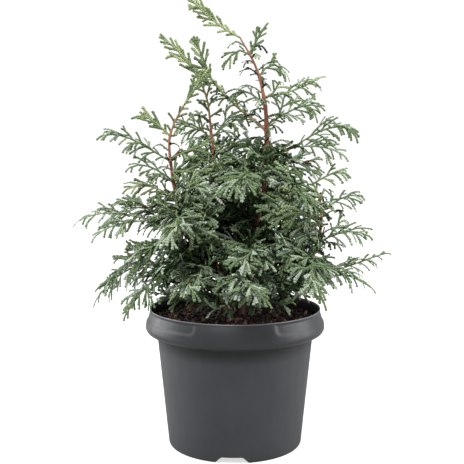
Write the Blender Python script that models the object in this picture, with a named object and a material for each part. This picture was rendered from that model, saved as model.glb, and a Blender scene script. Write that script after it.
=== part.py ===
"""A young sawara cypress with several leaders, in a round nursery pot of about three litres.

Metres, +Z up. The origin is the centre of the pot's underside, and the front is -Y.
Tables of sizes are in millimetres and degrees, as their headings say.
Bearings run anticlockwise seen from above: 0 is +X, 90 the back, 180 -X and 270 the front.

Run with: blender --background --python part.py
"""

from __future__ import annotations

import logging
import math
from dataclasses import dataclass
from enum import Enum

import bmesh
import bpy
from mathutils import Matrix, Vector, noise

log = logging.getLogger("potted_sawara_cypress")

MM = 0.001
GAP = 0.3 * MM  # between pieces that touch
CUT_GAP = 0.45 * MM  # how much a cutter is grown, so that its slanting faces still leave GAP

# Pot
POT_HEIGHT = 146.3 * MM
LIP_RADIUS = 90.7 * MM
COLLAR_RADIUS = 95.0 * MM
COLLAR_HEIGHT = 25.6 * MM
COLLAR_BULGE_DROP = 19.0 * MM  # from the lip down to the collar's widest ring
COLLAR_ROUND = 4.5 * MM
WALL_TOP_RADIUS = 82.6 * MM
WALL_TOP_DROP = 30.0 * MM  # from the lip down to where the wall leaves the collar
BASE_RADIUS = 70.9 * MM
BASE_ROUND = 2.5 * MM
WALL = 1.5 * MM
FOOT_WIDTH = 4.6 * MM
PLATE_RISE = 7.0 * MM  # the base plate's underside above the foot
POT_STEPS = 32

NOTCH_COUNT = 3
NOTCH_TOP_WIDTH = 22.0 * MM
NOTCH_FOOT_WIDTH = 35.0 * MM
NOTCH_HEIGHT = 6.4 * MM
NOTCH_BEARING = 267.4  # degrees; the first one faces the front

DRAIN_RADIUS = 5.0 * MM
DRAIN_RING_RADIUS = 42.0 * MM
DRAIN_RING_COUNT = 4

# Soil
SOIL_TOP = 136.0 * MM
SOIL_FLAT_RADIUS = 22.0 * MM  # level ground that the trunk stands on
SOIL_EDGE_DROP = 2.0 * MM
SOIL_ROUGHNESS = 1.6 * MM

# Keeps foliage off the pot and the soil
CLEAR_RADIUS = COLLAR_RADIUS + 1.5 * MM
CLEAR_HEIGHT = POT_HEIGHT + 1.0 * MM

ROOT_FLARE = 3.4 * MM
ROOT_FLARE_RISE = 7.0 * MM
FLARE_STATIONS = (1.2 * MM, 8.0 * MM)  # above the foot, so that the cut is level
STEM_STEP = 24.0 * MM  # between the stations of a stem's tube
BOUGH_STEP = 12.0 * MM


class Finish(Enum):
    """The materials: name, base colour, roughness."""

    POT = ("pot_plastic", (0.085, 0.092, 0.098), 0.42)
    SOIL = ("peat", (0.020, 0.011, 0.008), 0.95)
    BARK = ("bark", (0.190, 0.070, 0.038), 0.80)
    FOLIAGE = ("foliage", (0.160, 0.255, 0.175), 0.62)
    TIP_FOLIAGE = ("tip_foliage", (0.235, 0.330, 0.130), 0.60)


@dataclass(frozen=True)
class Stem:
    """A trunk or leader: a route through stations, thinning from its foot to its tip.

    Attributes:
        name: The node's name.
        parent: The stem that it rises from, or "" for the trunk.
        foot_height: Height of the foot on the parent's axis, in mm, or None to go on from its tip.
        route: The other stations, (x, y, height) in mm.
        foot_radius: Radius at the foot, in mm.
        tip_radius: Radius at the tip, in mm.
    """

    name: str
    parent: str
    foot_height: float | None
    route: tuple[tuple[float, float, float], ...]
    foot_radius: float
    tip_radius: float


@dataclass(frozen=True)
class Limb:
    """One limb that leaves a carrier in a vertical plane: a bare bough or the line of a mass.

    Attributes:
        name: The node's name.
        carrier: The stem or bough that it leaves.
        height: Height on the stem, in mm, or None where it goes on from the carrier's tip.
        bearing: Direction seen from above, in degrees.
        reach: How far out the tip lies, in mm.
        rise: How far the tip lies above the start, in mm.
        lift: How much the line bows up over its near and its far third, in mm.
    """

    name: str
    carrier: str
    height: float | None
    bearing: float
    reach: float
    rise: float
    lift: tuple[float, float]


@dataclass(frozen=True)
class Mass(Limb):
    """A limb clothed in foliage.

    Attributes:
        width: Widest measure across the flat of the spray, in mm.
        depth: Widest measure through the spray, in mm.
        roll: Turn of the flat about the limb, in degrees; 0 lies level.
        fullest: Share of the limb's length at which the spray is widest.
    """

    width: float = 40.0
    depth: float = 20.0
    roll: float = 0.0
    fullest: float = 0.42


STEMS = (
    Stem("trunk", "", SOIL_TOP / MM + 0.3,
         ((3, 4, 142), (8, 5, 163), (16, 6, 206), (26, 4, 255), (32, 0, 297), (33, -2, 333),
          (30, -2, 366), (21, 0, 399), (5, 0, 428)), 6.2, 0.8),
    Stem("left_leader", "trunk", 164,
         ((-26, -4, 193), (-50, -10, 225), (-60, -12, 258), (-68, -10, 313), (-64, -10, 337),
          (-53, -10, 358)), 4.0, 0.8),
    Stem("middle_leader", "trunk", 184,
         ((-5, 20, 215), (-17, 24, 253), (-25, 22, 328), (-29, 14, 363), (-35, 10, 381)), 3.4, 0.8),
    Stem("inner_leader", "trunk", 331,
         ((22, 6, 342), (4, 10, 356), (-14, 10, 373), (-25, 8, 387)), 1.6, 0.8),
    Stem("right_bough", "trunk", 172, ((38, -12, 182), (66, -26, 191)), 3.6, 2.6),
    Stem("right_leader", "right_bough", None,
         ((75, -29, 198), (83, -30, 215), (88, -30, 240), (86, -30, 264), (79, -30, 279)),
         2.4, 0.8),
)

# name, carrier, height, bearing, reach, rise, (near lift, far lift)
BOUGHS = (
    Limb("right_wing_bough", "trunk", 298, 340, 30, 17, (3, 3)),
    Limb("left_far_bough", "left_leader", 232, 183, 34, 9, (2, 3)),
    Limb("left_low_bough", "left_leader", 180, 184, 50, 10, (2, 4)),
    Limb("front_low_bough", "trunk", 166, 262, 40, 15, (2, 4)),
    Limb("back_left_bough", "trunk", 172, 132, 40, 14, (2, 4)),
    Limb("back_right_bough", "trunk", 176, 44, 38, 12, (2, 4)),
)

# name, carrier, height, bearing, reach, rise, (near lift, far lift), width, depth, roll
MASSES = (
    Mass("top_spray", "trunk", None, 185, 49, 37, (-5, -5), 24, 10, -70),
    Mass("crown_right_top", "trunk", 411, 16, 15, 26, (0, 2), 15, 9, 60),
    Mass("crown_left_top", "trunk", 410, 196, 27, -10, (12, 12), 20, 10, -70),
    Mass("crown_right_upper", "trunk", 388, 13, 29, 4, (14, 14), 32, 14, 60),
    Mass("crown_right_fan", "trunk", 368, 18, 63, 21, (-5, -5), 33, 16, 60),
    Mass("crown_right_mid", "trunk", 338, 349, 56, 18, (4, 14), 48, 24, 60),
    Mass("crown_left_mid", "trunk", 358, 166, 34, 13, (8, 12), 28, 13, -60),
    Mass("right_wing_upper", "right_wing_bough", None, 341, 63, 16, (8, 18), 33, 16, 60),
    Mass("right_wing_lower", "right_wing_bough", None, 332, 54, -7, (4, 8), 26, 15, 60),
    Mass("right_inner_high", "trunk", 284, 2, 50, 22, (8, 14), 52, 36, 50),
    Mass("left_tip", "left_leader", None, 11, 21, 31, (0, 0), 26, 12, 70),
    Mass("left_spur", "left_leader", 327, 191, 33, 20, (4, 10), 17, 9, -70),
    Mass("left_wing_upper", "left_leader", 302, 190, 68, 27, (4, 14), 30, 15, -60),
    Mass("left_wing_mid", "left_leader", 282, 194, 45, 14, (6, 13), 26, 18, -60),
    Mass("left_wing_yellow", "left_leader", 262, 207, 54, 12, (8, 12), 30, 20, -55),
    Mass("left_mid_short", "left_leader", 236, 158, 77, 25, (5, 5), 46, 32, -40),
    Mass("left_far", "left_far_bough", None, 180, 76, -1, (6, 14), 34, 18, -50),
    Mass("left_far_fork", "left_far_bough", None, 213, 62, -12, (2, 10), 34, 20, -40),
    Mass("left_low_mid", "left_leader", 206, 198, 84, -4, (14, 18), 54, 36, -50),
    Mass("left_low_far", "left_low_bough", None, 178, 87, -36, (18, 30), 48, 26, -50),
    Mass("left_low_fork", "left_low_bough", None, 223, 68, -42, (10, 14), 42, 24, -40),
    Mass("middle_tip", "middle_leader", None, 184, 39, 46, (8, 8), 22, 10, -75),
    Mass("middle_left", "middle_leader", 322, 160, 42, 16, (8, 12), 46, 26, -60),
    Mass("middle_right", "middle_leader", 326, 338, 46, 18, (8, 12), 46, 26, 50),
    Mass("middle_front", "middle_leader", 292, 262, 58, 8, (10, 12), 58, 40, 0),
    Mass("inner_tip", "inner_leader", None, 164, 16, 37, (0, 0), 24, 11, -60),
    Mass("right_tip", "right_leader", None, 351, 32, 11, (2, 8), 28, 15, 55),
    Mass("right_mid", "right_leader", 250, 14, 42, 15, (5, 10), 38, 22, 50),
    Mass("right_low", "right_leader", 218, 349, 52, 9, (8, 12), 36, 24, 50),
    Mass("front_low_right", "right_bough", 184, 250, 90, -8, (8, 12), 58, 30, -10),
    Mass("right_far", "right_bough", 185, 21, 126, 15, (-18, -4), 34, 18, 40),
    Mass("right_far_fork", "right_bough", 187, 352, 87, -14, (12, 14), 32, 18, 50),
    Mass("front_upper", "trunk", 288, 247, 94, -12, (10, 16), 76, 38, 0),
    Mass("front_upper_right", "trunk", 264, 300, 84, 0, (12, 18), 66, 38, -15),
    Mass("front_upper_left", "left_leader", 244, 272, 94, -10, (14, 16), 66, 40, 10),
    Mass("front_mid", "trunk", 204, 267, 106, 4, (14, 20), 80, 42, 0),
    Mass("front_low", "front_low_bough", None, 274, 95, 4, (10, 12), 66, 30, 0),
    Mass("front_low_left", "left_leader", 187, 256, 106, -6, (12, 14), 62, 34, 10),
    Mass("front_right", "right_leader", 206, 262, 78, -24, (12, 14), 50, 34, -15),
    Mass("back_left_low", "back_left_bough", None, 138, 98, -16, (14, 16), 78, 38, 15),
    Mass("back_right_low", "back_right_bough", None, 34, 88, -14, (14, 16), 64, 36, -20),
    Mass("back_low", "back_right_bough", None, 88, 100, -12, (12, 14), 66, 34, 0),
    Mass("back_mid", "trunk", 222, 92, 101, 16, (12, 16), 76, 44, 0),
    Mass("back_left_mid", "middle_leader", 232, 150, 90, 10, (12, 16), 70, 42, 25),
    Mass("back_right_mid", "trunk", 232, 34, 92, 12, (12, 16), 72, 42, -25),
    Mass("back_upper", "trunk", 272, 66, 66, 14, (10, 14), 64, 42, 0),
)

TIP_MASSES = {"top_spray", "left_tip", "middle_tip", "inner_tip", "left_spur", "crown_right_top"}

MASS_SEED = 11
SMALL_MASS = 32.0  # mm across: a narrower mass takes fewer sides and rings
SMALL_SIDES, SMALL_RINGS = 6, 5
LARGE_SIDES, LARGE_RINGS = 7, 6
BUMP = 0.24  # how far the outline swells and sinks, as a share of the half-width
BUMP_SIZE = 17.0 * MM  # spacing of the swellings
ENTRY_SHARE = 0.24  # a mass's radius where the bough enters it, as a share of its widest


class Path:
    """A smooth line in space, read by its share of length or by height."""

    def __init__(self, points: list[Vector]) -> None:
        """Keep the points and the length along them.

        Args:
            points: Points along the line, close together.
        """
        self.points = points
        self.lengths = [0.0]
        for before, after in zip(points, points[1:]):
            self.lengths.append(self.lengths[-1] + (after - before).length)

    @property
    def length(self) -> float:
        """The whole length."""
        return self.lengths[-1]

    def at(self, share: float) -> Vector:
        """Return the point at a share of the length.

        Args:
            share: From 0 at the foot to 1 at the tip.

        Returns:
            The point there.
        """
        wanted = min(max(share, 0.0), 1.0) * self.length
        for index in range(1, len(self.points)):
            if self.lengths[index] >= wanted:
                span = self.lengths[index] - self.lengths[index - 1]
                part = (wanted - self.lengths[index - 1]) / span
                return self.points[index - 1].lerp(self.points[index], part)
        return self.points[-1].copy()

    def direction(self, share: float) -> Vector:
        """Return the unit direction at a share of the length.

        Args:
            share: From 0 at the foot to 1 at the tip.

        Returns:
            The direction towards the tip.
        """
        step = 0.01
        return (self.at(share + step) - self.at(share - step)).normalized()

    def share_at_height(self, height: float) -> float:
        """Return the share of the length at which the line stands nearest a height.

        Args:
            height: Height above the underside of the pot, in metres.

        Returns:
            The share.
        """
        nearest = min(range(len(self.points)), key=lambda i: abs(self.points[i].z - height))
        return self.lengths[nearest] / self.length

    def started_at(self, share: float) -> Path:
        """Return the rest of the line from a share on.

        Args:
            share: Share of the length that is left off.

        Returns:
            The shortened line.
        """
        kept = [p for p, run in zip(self.points, self.lengths) if run > share * self.length]
        return Path([self.at(share), *kept])


def route_through(stations: list[Vector], per_span: int = 24) -> Path:
    """Return a Catmull-Rom line through stations.

    Args:
        stations: The points to pass through.
        per_span: How many points each span takes.

    Returns:
        The line.
    """
    ends = [stations[0] * 2 - stations[1], *stations, stations[-1] * 2 - stations[-2]]
    points = []
    for a, b, c, d in zip(ends, ends[1:], ends[2:], ends[3:]):
        for step in range(per_span):
            t = step / per_span
            points.append(0.5 * (2 * b + (c - a) * t + (2 * a - 5 * b + 4 * c - d) * t**2
                                 + (3 * b - a - 3 * c + d) * t**3))
    points.append(stations[-1].copy())
    return Path(points)


def limb_path(start: Vector, limb: Limb, per_curve: int = 48) -> Path:
    """Return a limb's line: a cubic curve in a vertical plane.

    Args:
        start: Where it starts.
        limb: Its sizes.
        per_curve: How many points the line takes.

    Returns:
        The line.
    """
    angle = math.radians(limb.bearing)
    out = Vector((math.cos(angle), math.sin(angle), 0.0)) * limb.reach * MM
    chord = out + Vector((0.0, 0.0, limb.rise * MM))
    near = start + chord / 3 + Vector((0.0, 0.0, limb.lift[0] * MM))
    far = start + chord * 2 / 3 + Vector((0.0, 0.0, limb.lift[1] * MM))
    tip = start + chord
    points = []
    for step in range(per_curve + 1):
        t = step / per_curve
        u = 1 - t
        points.append(u**3 * start + 3 * u * u * t * near + 3 * u * t * t * far + t**3 * tip)
    return Path(points)


def clear_scene() -> None:
    """Remove every object and mesh that the scene starts with."""
    for obj in list(bpy.data.objects):
        bpy.data.objects.remove(obj, do_unlink=True)
    for mesh in list(bpy.data.meshes):
        bpy.data.meshes.remove(mesh)


def material(finish: Finish) -> bpy.types.Material:
    """Return the material of a finish, made once.

    Args:
        finish: Which finish.

    Returns:
        The material.
    """
    name, color, roughness = finish.value
    made = bpy.data.materials.get(name)
    if made is None:
        made = bpy.data.materials.new(name)
        made.use_nodes = True
        shader = made.node_tree.nodes["Principled BSDF"]
        shader.inputs["Base Color"].default_value = (*color, 1.0)
        shader.inputs["Roughness"].default_value = roughness
    return made


def new_object(name: str, mesh: bpy.types.Mesh, finish: Finish | None = None) -> bpy.types.Object:
    """Link a mesh to the scene as an object.

    Args:
        name: The object's name.
        mesh: Its mesh.
        finish: Its material, or None for a cutter.

    Returns:
        The object.
    """
    obj = bpy.data.objects.new(name, mesh)
    bpy.context.scene.collection.objects.link(obj)
    if finish is None:
        obj.hide_render = True
        obj.display_type = "WIRE"
    else:
        mesh.materials.clear()
        mesh.materials.append(material(finish))
    return obj


def realised(obj: bpy.types.Object) -> bpy.types.Mesh:
    """Return an object's mesh with its modifiers or bevel applied, in world space.

    Args:
        obj: The object.

    Returns:
        A new mesh.
    """
    graph = bpy.context.evaluated_depsgraph_get()
    mesh = bpy.data.meshes.new_from_object(obj.evaluated_get(graph), depsgraph=graph)
    mesh.transform(obj.matrix_world)
    return mesh


def cleaned(mesh: bpy.types.Mesh, weld: float = 0.01 * MM) -> bpy.types.Mesh:
    """Weld a mesh and keep only its largest closed island, facing out.

    Args:
        mesh: The mesh, which is changed.
        weld: Points nearer than this become one.

    Returns:
        The same mesh.
    """
    bm = bmesh.new()
    bm.from_mesh(mesh)
    bmesh.ops.remove_doubles(bm, verts=bm.verts, dist=weld)
    bmesh.ops.dissolve_degenerate(bm, dist=weld, edges=bm.edges)
    islands: list[list[bmesh.types.BMFace]] = []
    unseen = set(bm.faces)
    while unseen:
        queue = [unseen.pop()]
        island = []
        while queue:
            face = queue.pop()
            island.append(face)
            for edge in face.edges:
                for other in edge.link_faces:
                    if other in unseen:
                        unseen.discard(other)
                        queue.append(other)
        islands.append(island)
    islands.sort(key=lambda island: sum(face.calc_area() for face in island), reverse=True)
    spare = [face for island in islands[1:] for face in island]
    bmesh.ops.delete(bm, geom=spare, context="FACES")
    loose = [vert for vert in bm.verts if not vert.link_faces]
    bmesh.ops.delete(bm, geom=loose, context="VERTS")
    bmesh.ops.recalc_face_normals(bm, faces=bm.faces)
    bm.to_mesh(mesh)
    bm.free()
    return mesh


def boxes_meet(a: bpy.types.Object, b: bpy.types.Object) -> bool:
    """Tell whether two objects' world boxes overlap.

    Args:
        a: One object.
        b: The other.

    Returns:
        True where they overlap.
    """
    bounds = []
    for obj in (a, b):
        corners = [obj.matrix_world @ Vector(corner) for corner in obj.bound_box]
        low = [min(corner[axis] for corner in corners) for axis in range(3)]
        high = [max(corner[axis] for corner in corners) for axis in range(3)]
        bounds.append((low, high))
    (low_a, high_a), (low_b, high_b) = bounds
    return all(low_a[axis] < high_b[axis] and low_b[axis] < high_a[axis] for axis in range(3))


def carve(obj: bpy.types.Object, cutters: list[bpy.types.Object]) -> None:
    """Cut an object by every cutter that its box meets, and keep its largest piece.

    Args:
        obj: The object that is cut.
        cutters: Closed solids.
    """
    near = [cutter for cutter in cutters if boxes_meet(obj, cutter)]
    if not near:
        return
    for cutter in near:
        cut = obj.modifiers.new(f"clear_{cutter.name}", "BOOLEAN")
        cut.operation = "DIFFERENCE"
        cut.solver = "EXACT"
        cut.object = cutter
    mesh = cleaned(realised(obj))
    obj.modifiers.clear()
    obj.data = mesh


def turned(name: str, profile: list[tuple[float, float]], finish: Finish | None,
           steps: int = POT_STEPS) -> bpy.types.Object:
    """Spin a profile round the Z axis.

    Args:
        name: The object's name.
        profile: (radius, height) points, down the outer side first.
        finish: Its material.
        steps: Sides of the round.

    Returns:
        The object.
    """
    mesh = bpy.data.meshes.new(name)
    points = [(radius, 0.0, height) for radius, height in profile]
    count = len(points)
    closed = profile[0][0] > 0 and profile[-1][0] > 0
    edges = [(index, index + 1) for index in range(count - 1)]
    if closed:
        edges.append((count - 1, 0))
    mesh.from_pydata(points, edges, [])
    obj = new_object(name, mesh, finish)
    screw = obj.modifiers.new("turn", "SCREW")
    screw.steps = screw.render_steps = steps
    screw.use_merge_vertices = True
    screw.merge_threshold = 0.0001
    obj.data = cleaned(realised(obj))
    obj.modifiers.clear()
    return obj


def arc(center: tuple[float, float], radius: float, start: float, end: float,
        count: int) -> list[tuple[float, float]]:
    """Return points round part of a circle in a profile.

    Args:
        center: (radius, height) of the circle's centre.
        radius: The circle's radius.
        start: First angle, in degrees from straight out, positive upwards.
        end: Last angle.
        count: How many points.

    Returns:
        The points.
    """
    angles = [math.radians(start + (end - start) * step / (count - 1)) for step in range(count)]
    return [(center[0] + radius * math.cos(a), center[1] + radius * math.sin(a)) for a in angles]


def wall_radius(height: float) -> float:
    """Return the outer radius of the pot's straight wall at a height.

    Args:
        height: Height above the underside.

    Returns:
        The radius.
    """
    share = height / (POT_HEIGHT - WALL_TOP_DROP)
    return BASE_RADIUS + (WALL_TOP_RADIUS - BASE_RADIUS) * share


def inner_profile(inset: float, bottom: float) -> list[tuple[float, float]]:
    """Return the inside of the pot from its floor up to the collar's widest ring.

    Args:
        inset: How far inside the wall's inner face the line runs.
        bottom: Height at which it starts.

    Returns:
        (radius, height) points, upwards.
    """
    into = WALL + inset
    wall_top = POT_HEIGHT - WALL_TOP_DROP
    collar_foot = POT_HEIGHT - COLLAR_HEIGHT
    return [
        (wall_radius(bottom) - into, bottom),
        (wall_radius(wall_top) - into, wall_top + inset / 2),
        (WALL_TOP_RADIUS + 3.0 * MM - into, collar_foot + WALL + inset / 2),
        (COLLAR_RADIUS - 1.6 * MM - into, collar_foot + WALL + 1.4 * MM + inset / 2),
        (COLLAR_RADIUS - into, POT_HEIGHT - COLLAR_BULGE_DROP + 1.0 * MM),
    ]


def build_pot() -> bpy.types.Object:
    """Make the pot: a thin tapering wall, a bulging collar, a raised floor with drain holes.

    Returns:
        The object.
    """
    collar_foot = POT_HEIGHT - COLLAR_HEIGHT
    bulge = POT_HEIGHT - COLLAR_BULGE_DROP
    plate_top = PLATE_RISE + WALL
    outside = [
        (LIP_RADIUS - WALL, POT_HEIGHT - 0.4 * MM),
        (LIP_RADIUS - 0.5 * MM, POT_HEIGHT),
        (LIP_RADIUS, POT_HEIGHT - 0.8 * MM),
        (COLLAR_RADIUS - 2.2 * MM, POT_HEIGHT - 7.0 * MM),
        (COLLAR_RADIUS - 0.6 * MM, POT_HEIGHT - 13.0 * MM),
        (COLLAR_RADIUS, bulge),
    ]
    outside += arc((COLLAR_RADIUS - COLLAR_ROUND, collar_foot + COLLAR_ROUND), COLLAR_ROUND,
                   -15, -90, 3)
    outside += [
        (WALL_TOP_RADIUS + 2.5 * MM, collar_foot - 0.8 * MM),
        (WALL_TOP_RADIUS, POT_HEIGHT - WALL_TOP_DROP),
        (wall_radius(BASE_ROUND), BASE_ROUND),
        (BASE_RADIUS - BASE_ROUND * 0.8, 0.0),
        (BASE_RADIUS - FOOT_WIDTH, 0.0),
        (BASE_RADIUS - FOOT_WIDTH - 1.0 * MM, PLATE_RISE),
    ]
    hub = [(0.0, PLATE_RISE), (0.0, plate_top)]
    inside = inner_profile(0.0, plate_top)
    inside += [
        (COLLAR_RADIUS - 0.6 * MM - WALL, POT_HEIGHT - 13.0 * MM),
        (COLLAR_RADIUS - 2.2 * MM - WALL, POT_HEIGHT - 7.0 * MM),
    ]
    profile = outside + hub + inside
    pot = turned("pot", profile, Finish.POT)
    cutters = [notch_cutter(index) for index in range(NOTCH_COUNT)]
    cutters.append(drain_cutter("drain_centre", Vector((0.0, 0.0, PLATE_RISE))))
    for index in range(DRAIN_RING_COUNT):
        angle = math.tau * (index + 0.5) / DRAIN_RING_COUNT
        ring = Vector((math.cos(angle), math.sin(angle), 0.0)) * DRAIN_RING_RADIUS
        cutters.append(drain_cutter(f"drain_{index}", ring + Vector((0.0, 0.0, PLATE_RISE))))
    bpy.context.view_layer.update()
    carve(pot, cutters)
    drop(cutters)
    pot.data.shade_smooth()
    pot.data.set_sharp_from_angle(angle=math.radians(35))
    return pot


def notch_cutter(index: int) -> bpy.types.Object:
    """Make the wedge that cuts one notch in the foot, wider below than above.

    Args:
        index: Which notch.

    Returns:
        The cutter.
    """
    bm = bmesh.new()
    below = 2.0 * MM
    spread = (NOTCH_FOOT_WIDTH - NOTCH_TOP_WIDTH) / NOTCH_HEIGHT
    foot_half = (NOTCH_FOOT_WIDTH + spread * below) / 2
    outline = [(-foot_half, -below), (foot_half, -below),
               (NOTCH_TOP_WIDTH / 2, NOTCH_HEIGHT), (-NOTCH_TOP_WIDTH / 2, NOTCH_HEIGHT)]
    inner, outer = BASE_RADIUS - 9.0 * MM, BASE_RADIUS + 6.0 * MM
    face = bm.faces.new([bm.verts.new((inner, y, z)) for y, z in outline])
    grown = bmesh.ops.extrude_face_region(bm, geom=[face])
    moved = [item for item in grown["geom"] if isinstance(item, bmesh.types.BMVert)]
    bmesh.ops.translate(bm, verts=moved, vec=(outer - inner, 0.0, 0.0))
    bmesh.ops.recalc_face_normals(bm, faces=bm.faces)
    mesh = bpy.data.meshes.new(f"notch_{index}")
    bm.to_mesh(mesh)
    bm.free()
    cutter = new_object(f"notch_{index}", mesh)
    cutter.rotation_euler.z = math.radians(NOTCH_BEARING) + math.tau * index / NOTCH_COUNT
    return cutter


def drain_cutter(name: str, place: Vector) -> bpy.types.Object:
    """Make the plug that cuts one drain hole.

    Args:
        name: The cutter's name.
        place: The hole's centre on the floor's underside.

    Returns:
        The cutter.
    """
    bm = bmesh.new()
    bmesh.ops.create_cone(bm, cap_ends=True, segments=10, radius1=DRAIN_RADIUS,
                          radius2=DRAIN_RADIUS, depth=8.0 * MM)
    mesh = bpy.data.meshes.new(name)
    bm.to_mesh(mesh)
    bm.free()
    cutter = new_object(name, mesh)
    cutter.location = place
    return cutter


def build_soil() -> bpy.types.Object:
    """Make the soil: it fills the pot to just under the rim, uneven but level at the trunk.

    Returns:
        The object.
    """
    bottom = PLATE_RISE + WALL + GAP
    edge_top = SOIL_TOP - SOIL_EDGE_DROP
    side = [point for point in inner_profile(GAP, bottom) if point[1] < edge_top]
    edge_radius = COLLAR_RADIUS - 0.6 * MM - WALL - GAP * 2
    top = [(0.0, SOIL_TOP), (SOIL_FLAT_RADIUS, SOIL_TOP), (58.0 * MM, SOIL_TOP - 0.6 * MM),
           (edge_radius, edge_top)]
    soil = turned("soil", [*top, *reversed(side), (0.0, bottom)], Finish.SOIL)
    for vert in soil.data.vertices:
        radius = math.hypot(vert.co.x, vert.co.y)
        on_top = vert.co.z > SOIL_TOP - 1.5 * MM
        if on_top and radius > SOIL_FLAT_RADIUS + 1.0 * MM and radius < edge_radius - 1.0 * MM:
            vert.co.z += SOIL_ROUGHNESS * noise.noise(vert.co / (11.0 * MM))
    soil.data.update()
    return soil


def drop(objects: list[bpy.types.Object]) -> None:
    """Remove helper objects.

    Args:
        objects: The helpers.
    """
    for obj in objects:
        bpy.data.objects.remove(obj, do_unlink=True)


def even_shares(length: float, step: float, fewest: int) -> list[float]:
    """Return evenly spaced shares of a length.

    Args:
        length: The length.
        step: About how far apart they lie.
        fewest: The least number of them.

    Returns:
        Shares from 0 to 1.
    """
    count = max(fewest, round(length / step) + 1)
    return [index / (count - 1) for index in range(count)]


def tube(name: str, path: Path, shares: list[float], radii: list[float], grow: float, sides: int,
         finish: Finish | None, level_foot: bool = False) -> bpy.types.Object:
    """Make a tapering round tube with flat ends from a bevelled curve.

    Args:
        name: The object's name.
        path: Its line.
        shares: Where its stations lie, as shares of the line's length.
        radii: The radius at each station.
        grow: Added to every radius and to both ends, for a cutter.
        sides: 6 or 8.
        finish: Its material, or None for a cutter.
        level_foot: Whether the foot is cut level, by a first stretch that stands upright.

    Returns:
        A mesh object.
    """
    places = [path.at(share) for share in shares]
    if level_foot:
        places[1].xy = places[0].xy
    if grow:
        places[0] = places[0] - path.direction(0.0) * grow
        places[-1] = places[-1] + path.direction(1.0) * grow
    curve = bpy.data.curves.new(name, "CURVE")
    curve.dimensions = "3D"
    curve.bevel_depth = 1.0
    curve.bevel_resolution = (sides - 4) // 2
    curve.use_fill_caps = True
    spline = curve.splines.new("POLY")
    spline.points.add(len(places) - 1)
    for point, place, radius in zip(spline.points, places, radii):
        point.co = (*place, 1.0)
        point.radius = radius + grow
    guide = bpy.data.objects.new(f"{name}_guide", curve)
    bpy.context.scene.collection.objects.link(guide)
    mesh = cleaned(realised(guide))
    bpy.data.objects.remove(guide, do_unlink=True)
    return new_object(name, mesh, finish)


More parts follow.
